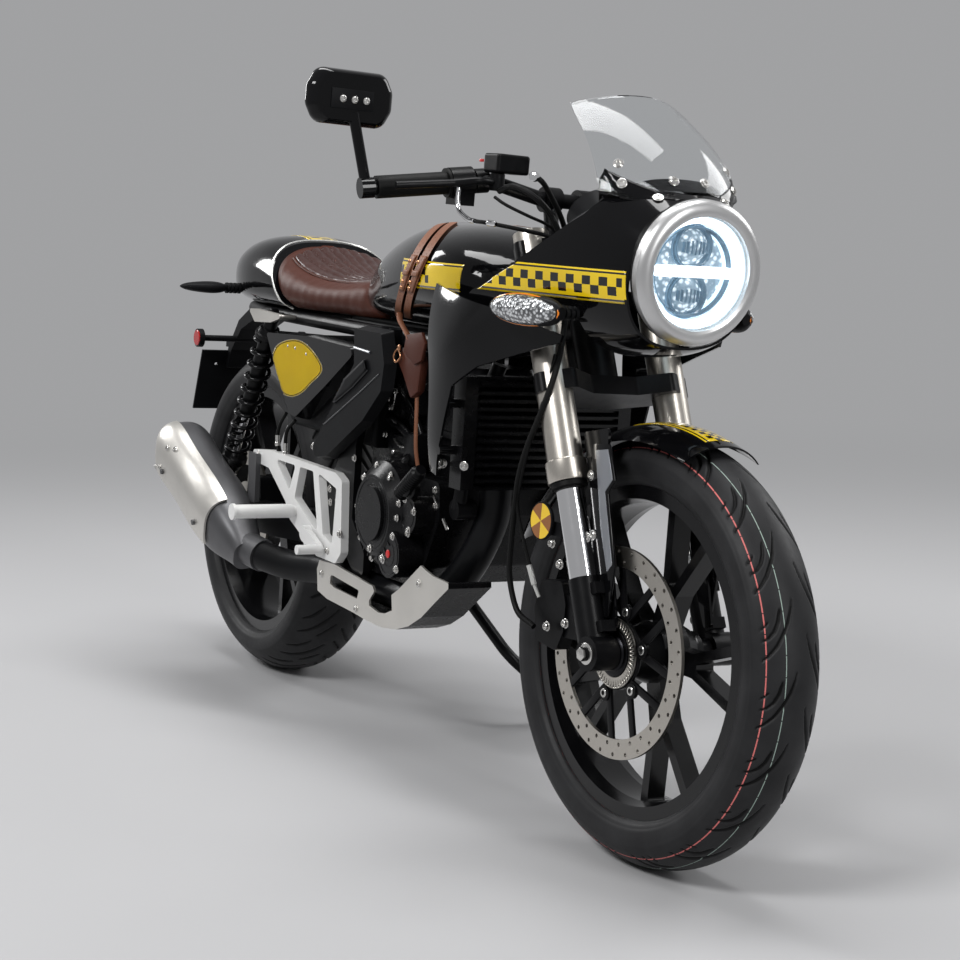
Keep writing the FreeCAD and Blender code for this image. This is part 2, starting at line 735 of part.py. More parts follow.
def mirror_right():
    """A bar-end mirror: plug, flat stalk and a rounded head."""
    end = Vector(BAR_OUTER.x, -BAR_OUTER.y, BAR_OUTER.z)
    outward = Vector(BAR_ALONG.x, -BAR_ALONG.y, BAR_ALONG.z)
    plug = rod(end + outward * GAP, end + outward * 20, 15)
    pin = rod(end - outward * 40, end + outward, size("bar_bore") - GAP)
    foot = end + outward * 10
    head_centre = foot + Vector(-6, -34, 124)
    stalk = pipe([foot, head_centre + Vector(8, 2, -20)], 8)
    half_wide = 68
    half_tall = 39
    outline = [
        Vector(0, -half_wide + 14, -half_tall), Vector(0, half_wide - 14, -half_tall),
        Vector(0, half_wide, -14), Vector(0, half_wide, 14),
        Vector(0, half_wide - 14, half_tall), Vector(0, -half_wide + 14, half_tall),
        Vector(0, -half_wide, 14), Vector(0, -half_wide, -14),
    ]
    rings = []
    for back, share in ((-12, 0.97), (-8, 1.0), (4, 0.97), (12, 0.84)):
        wire = wire_of(rounded_path([point * share for point in outline], 20 * share, closed=True))
        wire.translate(head_centre + Vector(back, 0, 0))
        rings.append(wire)
    head = Part.makeLoft(rings, True, False)
    return plug.fuse([stalk, head, pin])


def instrument():
    """A round dial on a foot that stands on the top clamp, facing the rider."""
    face = Vector(-math.cos(math.radians(40)), 0, math.sin(math.radians(40)))
    centre = on_fork(size("top_clamp_height") + 66, 52)
    dial = rod(centre - face * 30, centre, 42)
    dial = dial.fuse(Part.makeCone(30, 42, 14, centre - face * 44, face))
    glass = rod(centre - face * 4, centre + face * 10, 36)
    foot = rod(on_fork(CLAMP_FACE, 26), on_fork(CLAMP_FACE + 12, 26), 9)
    neck = rod(on_fork(CLAMP_FACE + 8, 26), centre - face * 20, 8)
    return dial.cut(glass).fuse([foot, neck])


feature("handlebar", handlebar(), FORK)
feature("grips", grips(), FORK)
feature("controls", controls(), FORK)
feature("mirror_right", mirror_right(), FORK)
feature("instrument", instrument(), FORK)

# Frame
PLATE_IN = size("plate_side")
PLATE_OUT = PLATE_IN + size("plate_thickness")
SPINE_REAR = Vector(606, 84, 684)


def frame_spine():
    """Head tube, two spine tubes under the tank and the cross tube that the plates bolt to."""
    low = on_fork(size("low_clamp_height") + size("clamp_thickness") / 2 + GAP)
    high = on_fork(size("top_clamp_height") - size("clamp_thickness") / 2 - GAP)
    head = rod(low, high, size("head_tube_radius"))
    spines = []
    for sign in (1, -1):
        route = [
            on_fork(500, 0, 6 * sign), HEAD + Vector(-76, 44 * sign, -128), Vector(800, 78 * sign, 686),
            Vector(SPINE_REAR.x, sign * SPINE_REAR.y, SPINE_REAR.z),
        ]
        spines.append(pipe(route, size("spine_radius"), 60))
    cross = across(Vector(622, 0, 684), 13, -PLATE_IN + GAP, PLATE_IN - GAP)
    gusset = prism(from_head([(20, -60), (-90, -130), (-10, -150), (66, -152)]), -5, 5)
    bore = rod(low - FORK_UP * 5, high + FORK_UP * 5, size("stem_radius") + AXLE_GAP)
    stay = pipe([on_fork(520, 8), LAMP_SEAT - LAMP * 158, LAMP_SEAT - LAMP * LAMP_DEPTH], 9, 30)
    return head.fuse(spines + [cross, gusset, stay]).cut(bore)


def downtubes():
    """Two tubes from the spine down to the engine's front lugs, with posts for the radiator."""
    tops = Vector(905, 66, 667)
    low = Vector(868, 101, ENGINE_EAR.z)
    left = pipe([tops, Vector(880, 92, 560), low], 12, 60)
    ear = across(ENGINE_EAR, 16, EAR_SIDE, EAR_SIDE + 24)
    posts = []
    for start in (Vector(870, 98, 500), Vector(893, 76, 628)):
        posts.append(rod(start, Vector(RADIATOR.x - RADIATOR_CORE, start.y, start.z), 7))
    spine_room = pipe([HEAD + Vector(-76, 44, -128), Vector(800, 78, 686)], size("spine_radius") + GAP)
    return both_sides(left.fuse([ear] + posts).cut(spine_room))


def seat_rails():
    """The subframe: two rails, a cross tube over the wheel and a stud for each shock absorber."""
    start = SPINE_REAR - Vector(0.8, 0, 0)
    route = [start, Vector(330, 92, RAIL_HEIGHT), Vector(60, 88, RAIL_HEIGHT), Vector(-70, 60, RAIL_HEIGHT)]
    left = pipe(route, size("rail_radius"), 60)
    stud = across(SHOCK_TOP, 6, 92, size("shock_side") + 12)
    right = mirrored(left.fuse(stud))
    cross = [
        across(Vector(60, 0, RAIL_HEIGHT), 10, -88, 88),
        across(Vector(TAIL_CROSS, 0, RAIL_HEIGHT), TAIL_CROSS_RADIUS, -60, 60),
    ]
    return left.fuse([stud, right] + cross)


def pivot_plates():
    """The plates that carry the swingarm pivot, the engine's rear and the rear-sets."""
    outline = [
        (588, 702), (648, 702), (652, 664), (606, 600), (572, 500), (572, 380), (624, 330), (624, 292),
        (586, 292), (560, 312), (PIVOT.x - 30, 312), (PIVOT.x - 34, PIVOT.z + 40),
        (PIVOT.x + 24, PIVOT.z + 120), (PIVOT.x + 108, 600),
    ]
    plate = prism(outline, PLATE_IN, PLATE_OUT, 10)
    plate = plate.cut(across(PIVOT, 8 + GAP, PLATE_IN - 5, PLATE_OUT + 5))
    return Part.makeCompound([plate.fuse(stand_lug()), mirrored(plate)])


def stand_lug():
    """The tilted lug that hangs the side stand from the left plate."""
    shelf = block(Vector(448, 98, 276), Vector(500, PLATE_OUT, 308))
    shelf = shelf.fuse(block(Vector(448, PLATE_IN, 300), Vector(500, PLATE_OUT, 318)))
    low = STAND_PIVOT - STAND_AXIS * LUG_HALF
    lug = Part.makeBox(2 * LUG_RADIUS, 50, 2 * LUG_HALF, Vector(-LUG_RADIUS, 0, -LUG_HALF))
    lug.Placement = Placement(STAND_PIVOT, Rotation(Vector(1, 0, 0), STAND_UP, STAND_AXIS * -1, "XYZ"))
    eye = rod(low, low + STAND_AXIS * (2 * LUG_HALF), LUG_RADIUS)
    hole = rod(low - STAND_AXIS * 5, low + STAND_AXIS * (2 * LUG_HALF + 5), STAND_BOLT + GAP)
    return shelf.fuse(lug.fuse(eye)).cut(hole)


SEAT_FLOOR = 698
RAIL_HEIGHT = SEAT_FLOOR - GAP - size("rail_radius")
TAIL_CROSS = -68
TAIL_CROSS_RADIUS = 9
ENGINE_EAR = Vector(868, 0, 440)
EAR_SIDE = 86
RADIATOR = Vector(932, 0, 482)
RADIATOR_CORE = 14
STAND_PIVOT = Vector(470, 122, 240)
STAND_KNEE = Vector(596, 160, 141)
STAND_FOOT = Vector(640, 292, 0)
STAND_TILT = math.radians(29)
STAND_AXIS = Vector(0, math.cos(STAND_TILT), math.sin(STAND_TILT))
STAND_UP = Vector(0, -math.sin(STAND_TILT), math.cos(STAND_TILT))
LUG_HALF = 5
LUG_RADIUS = 15
CHEEK = 5
STAND_BOLT = 6
FOOT_HALF = Vector(26, 16, 0)
FOOT_THICK = 6
SHOCK_TOP = Vector(159, 0, 684)
SHOCK_LOW = Vector(-14, 0, 362)


ARM_HALF = size("arm_width") / 2
ARM_TALL = size("arm_height") / 2
ARM = [
    (PIVOT.x + 14, PIVOT.z - ARM_TALL), (PIVOT.x + 22, PIVOT.z), (PIVOT.x + 14, PIVOT.z + ARM_TALL),
    (260, REAR_AXLE.z + 46), (30, REAR_AXLE.z + 28), (-52, REAR_AXLE.z + 24),
    (-58, REAR_AXLE.z - 20), (30, REAR_AXLE.z - 26), (260, REAR_AXLE.z - 12),
]


def swingarm():
    """Two tapered arms, the pivot tube, a cross brace, the wheel spindle and the shock lugs."""
    side = size("arm_side")
    shock = size("shock_side")
    pieces = []
    for sign in (1, -1):
        pieces.append(prism(ARM, sign * (side - ARM_HALF), sign * (side + ARM_HALF), 8))
        foot = [
            (SHOCK_LOW.x - 18, REAR_AXLE.z + 6), (SHOCK_LOW.x + 18, REAR_AXLE.z + 6),
            (SHOCK_LOW.x + 16, SHOCK_LOW.z - 18), (SHOCK_LOW.x - 16, SHOCK_LOW.z - 18),
        ]
        pieces.append(prism(foot, sign * (shock - 13), sign * (shock + 13)))
        for ear_side in (shock - 13, shock + 8.6):
            ear = [
                (SHOCK_LOW.x - 16, SHOCK_LOW.z - 20), (SHOCK_LOW.x + 16, SHOCK_LOW.z - 20),
                (SHOCK_LOW.x + 11, SHOCK_LOW.z + 10), (SHOCK_LOW.x - 11, SHOCK_LOW.z + 10),
            ]
            pieces.append(prism(ear, sign * ear_side, sign * (ear_side + 4.4)))
        pieces.append(across(SHOCK_LOW, 5, sign * (shock - 13), sign * (shock + 15)))
    pieces.append(across(PIVOT, 21, -PLATE_IN + GAP, PLATE_IN - GAP))
    pieces.append(across(PIVOT, 8, -PLATE_OUT, PLATE_OUT))
    brace = [(338, 318), (388, 322), (388, 366), (338, 362)]
    pieces.append(prism(brace, -side, side, 8))
    pieces.append(across(REAR_AXLE, size("rear_axle_radius"), -side - ARM_HALF - 16, side + ARM_HALF + 16))
    pieces.append(across(REAR_AXLE, 16, -side - ARM_HALF - 10, -side))
    pieces.append(across(REAR_AXLE, 16, side, side + ARM_HALF + 10))
    right_spacer = size("rear_disc_side") + size("disc_thickness") / 2 + 1
    left_spacer = size("chain_side") + 2.75 + 1
    pieces.append(across(REAR_AXLE, 15, -side, -right_spacer))
    pieces.append(across(REAR_AXLE, 15, left_spacer, side))
    return pieces[0].fuse(pieces[1:])


def shocks():
    """Twin shock absorbers: eye, damper, spring with its coils, reservoir end and top eye."""
    run = SHOCK_TOP - SHOCK_LOW
    length = run.Length
    radius = size("coil_radius")
    turns = 9
    start = 62
    pitch = (length - 2 * start + 12) / turns
    points = [Vector(0, 0, 8), Vector(8, 0, 8), Vector(8, 0, start - 16), Vector(radius - 3, 0, start - 14)]
    edges = [Part.makeLine(first, second) for first, second in zip(points, points[1:])]
    last = points[-1]
    for turn in range(turns):
        base = start - 8 + turn * pitch
        groove = Vector(radius - 6, 0, base)
        edges.append(Part.makeLine(last, groove))
        end = Vector(radius - 6, 0, base + pitch * 0.8)
        edges.append(Part.Arc(groove, Vector(radius, 0, base + pitch * 0.4), end).toShape())
        last = end
    top = length - 34
    closing = [
        Vector(radius - 3, 0, top - 14), Vector(radius - 3, 0, top), Vector(13, 0, top + 4),
        Vector(13, 0, length - 8), Vector(0, 0, length - 8), Vector(0, 0, 8),
    ]
    for point in closing:
        edges.append(Part.makeLine(last, point))
        last = point
    face = Part.Face(Part.Wire(edges))
    damper = face.revolve(Vector(), UP, 360)
    damper.Placement = Placement(SHOCK_LOW + Vector(0, size("shock_side"), 0), turned_to(run))
    side = size("shock_side")
    low_eye = across(SHOCK_LOW, 13, side - 8.2, side + 8.2)
    top_eye = across(SHOCK_TOP, 14, side - 7, side + 9)
    solid = damper.fuse([low_eye, top_eye])
    solid = solid.cut(across(SHOCK_TOP, 6 + GAP, side - 30, side + 30))
    solid = solid.cut(across(SHOCK_LOW, 5 + GAP, side - 30, side + 30))
    return both_sides(solid)


feature("frame_spine", frame_spine())
feature("downtubes", downtubes())
feature("seat_rails", seat_rails())
feature("pivot_plates", pivot_plates())
feature("swingarm", swingarm())
feature("shocks", shocks())

# Engine
CASE_FRONT = 834
CASE_BOTTOM = 298
CASE_TOP = 476
CASE_SIDE = 116


def engine_case():
    """Crankcase with the gearbox behind it, narrower where the chain runs."""
    crank_outline = [
        (636, CASE_BOTTOM), (740, CASE_BOTTOM), (792, 336), (CASE_FRONT, 420), (CASE_FRONT - 6, CASE_TOP),
        (636, CASE_TOP),
    ]
    gearbox_outline = [
        (524, 330), (560, CASE_BOTTOM), (650, CASE_BOTTOM), (650, CASE_TOP), (560, CASE_TOP - 20), (524, 420),
    ]
    crank = prism(crank_outline, -CASE_SIDE, CASE_SIDE, 14)
    gearbox = prism(gearbox_outline, -CASE_SIDE, 74, 14)
    rear_mount = across(Vector(604, 0, 309), 11, -PLATE_IN, PLATE_IN)
    lug = [(816, 420), (ENGINE_EAR.x + 14, 428), (ENGINE_EAR.x + 14, 452), (816, 466)]
    lugs = [prism(lug, sign * (EAR_SIDE - 9), sign * EAR_SIDE, 6) for sign in (1, -1)]
    return crank.fuse([gearbox, rear_mount] + lugs)


PORT = Vector(840, -36, 592)
PORT_AHEAD = Vector(0.985, -0.12, -0.12).normalize()


def cylinder():
    """Cylinder, head and cam cover, leaning forwards, with cooling ribs and ports."""
    lean = math.radians(12)
    base = Vector(728, 0, CASE_TOP + GAP)
    levels = [
        (0, 66, 70), (34, 66, 70), (34, 74, 78), (44, 74, 78), (44, 64, 68), (62, 64, 68), (62, 74, 78),
        (72, 74, 78), (72, 66, 74), (130, 66, 74), (130, 74, 82), (140, 74, 82), (152, 66, 66), (176, 50, 50),
    ]
    solids = []
    for (low, half_long, half_wide), (high, long_top, wide_top) in zip(levels, levels[1:]):
        if high <= low:
            continue
        rings = []
        for height, long_half, wide_half in ((low, half_long, half_wide), (high, long_top, wide_top)):
            shift = base.x + height * math.sin(lean)
            level = base.z + height
            corners = [
                Vector(shift - long_half, -wide_half, level), Vector(shift + long_half, -wide_half, level),
                Vector(shift + long_half, wide_half, level), Vector(shift - long_half, wide_half, level),
            ]
            rings.append(wire_of(rounded_path(corners, 14, closed=True)))
        solids.append(Part.makeLoft(rings, True, True))
    port = rod(PORT - PORT_AHEAD * 40, PORT, 30)
    return solids[0].fuse(solids[1:] + [port])


def engine_covers():
    """Clutch cover and filter cap on the right, generator and sprocket covers on the left."""
    covers = []
    clutch = Vector(694, 0, 408)
    right = [
        rod(Vector(clutch.x, -116 - GAP, clutch.z), Vector(clutch.x, -146, clutch.z), 84),
        Part.makeCone(84, 62, 18, Vector(clutch.x, -146, clutch.z), RIGHT),
        rod(Vector(clutch.x, -146, clutch.z), Vector(clutch.x, -170, clutch.z), 44),
    ]
    filter_cap = rod(Vector(752, -116 - GAP, 352), Vector(752, -160, 352), 38)
    pump = rod(Vector(790, -116 - GAP, 420), Vector(790, -150, 420), 30)
    covers.append(right[0].fuse(right[1:] + [filter_cap, pump]))
    generator = Vector(712, 0, 400)
    left = rod(Vector(generator.x, 116 + GAP, generator.z), Vector(generator.x, 142, generator.z), 82)
    left = left.fuse(Part.makeCone(82, 66, 16, Vector(generator.x, 142, generator.z), LEFT))
    drive_cover = prism(
        [(548, 350), (560, 330), (640, 330), (668, 350), (668, 440), (600, 448), (548, 424)],
        116 + GAP,
        PLATE_IN - GAP,
        10,
    )
    covers.append(left.fuse(drive_cover))
    return Part.makeCompound(covers)


HEADER = [
    PORT + PORT_AHEAD * GAP, PORT + PORT_AHEAD * 40, Vector(884, -46, 500), Vector(880, -44, 430),
    Vector(856, -66, 350), Vector(778, -86, 270), Vector(640, -98, 270), Vector(480, -104, 272),
    Vector(430, -114, 268), Vector(352, -150, 262), Vector(296, -176, 270),
]
MUFFLER_FRONT = Vector(264, -190, 266)
MUFFLER_REAR = Vector(-76, -202, 422)
SILENCER = [(0, 29, 29), (34, 34, 38), (92, 46, 56), (170, 50, 62)]


def exhaust_header():
    pipe_solid = pipe(HEADER, size("exhaust_radius"))
    return pipe_solid


def along_muffler(distance, half_wide, half_tall, grow=0.0, squareness=2.8):
    ring = oval(distance, half_wide, -half_tall, half_tall, 0, squareness, grow)
    return ring


def muffler_place():
    run = MUFFLER_REAR - MUFFLER_FRONT
    return Placement(MUFFLER_FRONT, Rotation(Vector(1, 0, 0), run))


def muffler():
    """A stubby silencer: inlet, cone, oval can and a tapered end cap with its outlet."""
    length = (MUFFLER_REAR - MUFFLER_FRONT).Length
    profile = SILENCER + [(length - 40, 50, 62), (length - 4, 40, 50)]
    can = Part.makeLoft([along_muffler(*entry) for entry in profile], True, False)
    can = can.fuse(shield_bolts(5))
    outlet = rod(Vector(length - 20, 0, -12), Vector(length + 8, 0, -12), 20)
    hole = rod(Vector(length - 60, 0, -12), Vector(length + 20, 0, -12), 17)
    can = can.fuse(outlet).cut(hole)
    can.Placement = muffler_place()
    lug = prism([(186, 352), (216, 352), (214, 440), (178, 440)], -PLATE_OUT - 24, -PLATE_OUT - 16 + 1, 4)
    inlet = rod(HEADER[-1], MUFFLER_FRONT + Vector(-30, -2, 14), 29)
    return can.fuse([inlet, lug]).cut(exhaust_bore())


def exhaust_bore():
    ahead = (HEADER[-1] - HEADER[-2]).normalize()
    return rod(HEADER[-1] - ahead * 60, HEADER[-1] + ahead * 0.5, size("exhaust_radius") + 5)


def shield_bolts(radius):
    """The bolts that stand off the shield, in the muffler's own frame."""
    return [rod(Vector(along, -30, 6), Vector(along, -60, 6), radius) for along in (130, 300)]


def muffler_shield():
    """A pale outer shield bolted over the outer side of the can."""
    length = (MUFFLER_REAR - MUFFLER_FRONT).Length
    profile = SILENCER + [(length - 40, 50, 62), (length - 4, 40, 50)]
    outer = Part.makeLoft([along_muffler(*entry, grow=5.5) for entry in profile], True, False)
    inner = Part.makeLoft([along_muffler(*entry, grow=2) for entry in profile], True, False)
    shell = outer.cut(inner).cut(block(Vector(60, -90, 30), Vector(length, 90, 90)))
    shell = shell.common(block(Vector(92, -90, -90), Vector(length - 10, -10, 90)))
    for bolt in shield_bolts(5 + GAP):
        shell = shell.cut(bolt)
    shell.Placement = muffler_place()
    return shell


feature("engine_case", engine_case())
feature("cylinder", cylinder())
feature("engine_covers", engine_covers())
feature("exhaust_header", exhaust_header())
feature("muffler", muffler())
feature("muffler_shield", muffler_shield())


def radiator():
    """A radiator with level louvres across its front and a tank on each side."""
    body = new_body("radiator")
    half = 134
    tall = 170
    core = new_sketch(body, "radiator_core", "XY_Plane")
    draw(core, [(-14, -half), (10, -half), (10, half), (-14, half)])
    pad(body, "radiator_core_pad", core, f"{tall} mm", midplane=False)
    fin = new_sketch(body, "radiator_fin", "XZ_Plane")
    draw(fin, [(9, 4), (22, 0), (22, 3), (9, 9)])
    fin_pad = pad(body, "radiator_fin_pad", fin, f"{2 * half - 24} mm")
    rows = body.newObject("PartDesign::LinearPattern", "radiator_louvres")
    rows.Originals = [fin_pad]
    rows.Direction = (origin_axis(body, "Z_Axis"), [""])
    rows.Length = tall - 12
    rows.Occurrences = 14
    body.Tip = rows
    tank = new_sketch(body, "radiator_tank", "XY_Plane")
    draw(tank, [(-18, -half - 12), (18, -half - 12), (18, -half + 10), (-18, -half + 10)])
    draw(tank, [(-18, half - 10), (18, half - 10), (18, half + 12), (-18, half + 12)])
    pad(body, "radiator_tank_pad", tank, f"{tall} mm", midplane=False)
    return settle(body, CHASSIS, Placement(RADIATOR, Rotation()))


radiator()


def belly_guard():
    """A skid plate on the exhaust's side: an outer wall that turns under, held by two tabs with posts."""
    outline = [
        (475, 293), (467, 277), (474, 241), (513, 234), (619, 231), (668, 228), (725, 228), (774, 235),
        (817, 249), (858, 271), (897, 300), (940, 331), (939, 339), (922, 340), (888, 341), (862, 346),
        (846, 350), (775, 299), (752, 286), (757, 262), (731, 252), (708, 249), (674, 254), (673, 262),
        (690, 280), (682, 288), (670, 288), (533, 297),
    ]
    room = [
        (440, 243.5), (484, 243.5), (513, 239), (619, 235), (668, 232), (725, 232), (774, 239), (815, 253),
        (854, 276), (892, 305), (960, 360), (960, 400), (440, 400),
    ]
    outer = prism(outline, -150, -76, 2).cut(prism(room, -146, 0))
    window = prism([(523, 276), (521, 262), (538, 258), (628, 256), (634, 271), (533, 277)], -160, -136, 3)
    tabs = []
    for forward, low in ((600, 233), (712, 228)):
        tabs.append(block(Vector(forward - 16, -80, low), Vector(forward + 16, -34, low + 4)))
        tabs.append(rod(Vector(forward, -46, low), Vector(forward, -46, CASE_BOTTOM), 8))
    return outer.cut(window).fuse(tabs)


feature("belly_guard", belly_guard())

# Tank, seat and tail
TANK = [
    (438, 62, 712, 742, 730), (470, 84, 706, 800, 740), (560, 112, 704, 850, 752), (660, 134, 704, 872, 772),
    (760, 150, 706, 876, 790), (850, 152, 710, 868, 796), (910, 138, 716, 846, 792),
    (948, 104, 728, 812, 780),
]
CAP = Vector(672, 0, 0)
CAP_RADIUS = 33


def tank_top(forward):
    for (near, _, _, low_top, _), (far, _, _, high_top, _) in zip(TANK, TANK[1:]):
        if near <= forward <= far:
            return low_top + (high_top - low_top) * (forward - near) / (far - near)
    return TANK[-1][3]


def fuel_tank():
    """The tank, with a seat for its filler cap and a tunnel over the frame."""
    solid = hull(TANK, 2.5)
    seat = Part.makeCylinder(CAP_RADIUS + 5, 40, Vector(CAP.x, 0, tank_top(CAP.x) - 10))
    filler = Part.makeCylinder(CAP_RADIUS - 14, 30, Vector(CAP.x, 0, tank_top(CAP.x) - 30))
    hinge_pocket = block(Vector(CAP.x + 26, -14, tank_top(CAP.x) - 10), Vector(CAP.x + 52, 14, 900))
    tunnel = prism([(400, 690), (990, 690), (990, 740), (400, 716)], -58, 58)
    return solid.cut(seat).cut(filler).cut(hinge_pocket).cut(tunnel)


def fuel_cap():
    """A flip lid on a hinge at its front edge."""
    level = tank_top(CAP.x)
    lid = Part.makeCylinder(CAP_RADIUS, 8, Vector(CAP.x, 0, level - 9.7))
    dome = Part.makeCone(CAP_RADIUS, CAP_RADIUS - 10, 5, Vector(CAP.x, 0, level - 1.7))
    ear = block(Vector(CAP.x + 28, -9, level - 7), Vector(CAP.x + 44, 9, level - 1))
    barrel = across(Vector(CAP.x + 44, 0, level - 2), 4, -9, 9)
    key = Part.makeCylinder(7, 3, Vector(CAP.x, 0, level + 3))
    return lid.fuse([dome, ear, barrel, key])


STRAP_WAY = Vector(1, 1.376, -0.727)
STRAP_STARTS = ((-37.7, 0), (-3.6, 54))
STRAP_HALF = 6.4
STRAP_THICK = 3
STRAP_END = 718


def tank_straps():
    """Two leather straps that run forwards and down from behind the cap, then back along the sides."""
    skin = hull(TANK, 2.5, grow=GAP + STRAP_THICK).cut(hull(TANK, 2.5, grow=GAP))
    way = STRAP_WAY * (1 / STRAP_WAY.Length)
    bands = []
    for start, side in STRAP_STARTS:
        slab = Part.makeBox(900, 900, 2 * STRAP_HALF, Vector(-450, -450, -STRAP_HALF))
        slab.Placement = Placement(way * (start / STRAP_WAY.Length) + Vector(600, 0, 825.3), turned_to(way))
        reach = slab.common(block(Vector(300, -220, STRAP_END), Vector(960, -side, 920)))
        halves = [skin.common(reach), skin.common(mirrored(reach))]
        bands.append(halves[0].fuse(halves[1]) if side == 0 else Part.makeCompound(halves))
    return Part.makeCompound(bands)


feature("fuel_tank", fuel_tank())
feature("fuel_cap", fuel_cap())

TAIL = [
    (-142, 44, 716, 752, 736), (-118, 76, 704, 780, 740), (-70, 100, 697, 806, 742), (0, 116, 694, 822, 742),
    (80, 122, 693, 822, 740), (180, 122, 693, 790, 734), (290, 114, 693, 762, 730), (420, 98, 694, 764, 732),
    (520, 84, 696, 782, 738),
]
SEAT_LINE = [(214, 690), (92, 840)]


def seat():
    """The saddle, up to the slanted line where the tail cowl begins."""
    solid = hull(TAIL, 2.8)
    front = prism([(214 + GAP, 680), (532, 680), (532, 900), (86, 900), (86 + GAP, 848)], -200, 200)
    tank_room = hull(TANK, 2.5, grow=GAP * 2)
    floor = block(Vector(0, -200, 600), Vector(600, 200, SEAT_FLOOR))
    return solid.common(front).cut(tank_room).cut(floor)


def seat_cowl():
    """The tail behind the seat, over the wheel, with room under it for the seat rails."""
    solid = hull(TAIL, 2.8, grow=3)
    rear = prism([(214, 680), (86, 848), (86, 900), (-200, 900), (-200, 680)], -200, 200)
    floor = block(Vector(-200, -200, 600), Vector(300, 200, SEAT_FLOOR))
    return solid.common(rear).cut(floor)


feature("seat", seat())
feature("seat_cowl", seat_cowl())

# Fairing and headlight
FAIRING_SQUARE = 2.5
FAIRING = [
    (300, 97, -91, 99, 2), (262, 112, -108, 122, 4), (200, 130, -118, 150, 6), (120, 148, -120, 150, 0),
    (40, 164, -116, 130, -20), (-30, 174, -112, 96, -30),
    (-60, 177, -108, 84, -34),
]


def fairing():
    """The half fairing: a shell round the headlight that sweeps back past the tank's front."""
    shift = Vector(HEAD.x, 0, HEAD.z)
    outer = hull(FAIRING, FAIRING_SQUARE, shift=shift)
    inner = hull(FAIRING, FAIRING_SQUARE, grow=-WALL, shift=shift)
    shell = outer.cut(inner)
    keep = prism(
        from_head(
            [
                (330, 150), (250, 134), (200, 76), (142, 40), (80, 4), (16, -32), (-14, -42), (-42, -60),
                (-42, -80), (-8, -94),
                (100, -108), (220, -120), (330, -120),
            ]
        ),
        -220,
        220,
    )
    shell = shell.common(keep)
    fork_room = block(HEAD + Vector(-60, -138, -200), HEAD + Vector(196, 138, -60))
    bowl_room = rod(NOSE + Vector(-60, 0, 0), NOSE + Vector(40, 0, 0), 91)
    ring_room = rod(LAMP_SEAT - LAMP * RING_BACK, LAMP_SEAT + LAMP * 60, 160)
    return shell.cut(fork_room).cut(bowl_room).cut(ring_room)


def headlight_ring():
    """A wide rounded ring round the lamp."""
    outer = size("ring_radius")
    inner = size("ring_window")
    points = [
        Vector(outer - 2, 0, -RING_BACK), Vector(outer, 0, -RING_BACK + 3), Vector(outer, 0, 2),
        Vector(inner + 4, 0, 12), Vector(inner, 0, 10), Vector(inner, 0, -RING_BACK),
    ]
    edges = [
        Part.makeLine(points[0], points[1]),
        Part.makeLine(points[1], points[2]),
        Part.Arc(points[2], Vector(outer - 8, 0, 11), points[3]).toShape(),
        Part.makeLine(points[3], points[4]),
        Part.makeLine(points[4], points[5]),
        Part.makeLine(points[5], points[0]),
    ]
    ring = Part.Face(Part.Wire(edges)).revolve(Vector(), UP, 360)
    ring.Placement = Placement(LAMP_SEAT, turned_to(LAMP))
    return ring


def headlight_unit():
    """The lamp bowl behind its lens."""
    radius = size("ring_window") - GAP
    bowl = rod(LAMP_SEAT - LAMP * 70, LAMP_SEAT + LAMP * 4, radius)
    return bowl.fuse(Part.makeCone(50, radius, LAMP_DEPTH - 70, LAMP_SEAT - LAMP * LAMP_DEPTH, LAMP))


feature("fairing", fairing())
feature("headlight_ring", headlight_ring())
feature("headlight_unit", headlight_unit())

# Foot controls
BRACKET_IN = PLATE_OUT + GAP
BRACKET_OUT = BRACKET_IN + size("bracket_thickness")


def rear_sets():
    """Cast rear-set brackets: a triangulated truss out to the muffler and the peg."""
    outline = [
        (556, 440), (530, 450), (250, 452), (176, 444), (176, 424), (250, 420), (330, 372), (352, 344),
        (470, 300), (546, 300), (566, 320),
    ]
    plate = prism(outline, BRACKET_IN, BRACKET_OUT, 8)
    windows = [
        [(276, 440), (344, 394), (366, 440)],
        [(386, 440), (368, 384), (470, 340), (440, 440)],
        [(462, 440), (492, 340), (530, 330), (536, 424)],
    ]
    for window in windows:
        plate = plate.cut(prism(window, BRACKET_IN - 5, BRACKET_OUT + 5, 5))
    return both_sides(plate)


PEG = Vector(374, 0, 362)
PEG_OUT = BRACKET_OUT + 118


def foot_pegs():
    peg = across(PEG, 12, BRACKET_OUT + 8, PEG_OUT)
    hinge = across(PEG, 9, BRACKET_OUT + GAP, BRACKET_OUT + 9)
    end = across(PEG, 14, PEG_OUT - 5, PEG_OUT)
    return both_sides(peg.fuse([hinge, end]))


def foot_levers():
    """Brake pedal on the right and gear lever on the left."""
    side = BRACKET_OUT + 9
    boss = Vector(440, side, 334)
    outline = [(432, 322), (452, 344), (500, 326), (512, 318), (504, 306)]
    arm = prism(outline, BRACKET_OUT + GAP + 4, BRACKET_OUT + 14, 4)
    hub = across(boss, 13, BRACKET_OUT + GAP, BRACKET_OUT + 14)
    toe = across(Vector(504, 0, 317), 8, BRACKET_OUT + 8, BRACKET_OUT + 52)
    return both_sides(arm.fuse([hub, toe]))


feature("rear_sets", rear_sets())
feature("foot_pegs", foot_pegs())
feature("foot_levers", foot_levers())

# Side stand
def on_ground(point, height=0.0):
    """The point in the upright bike that stands at a height over the ground once it leans."""
    world = Placement(Vector(), Rotation(Vector(1, 0, 0), -size("lean_angle")))
    return world.inverse().multVec(Vector(point.x, world.multVec(point).y, height))


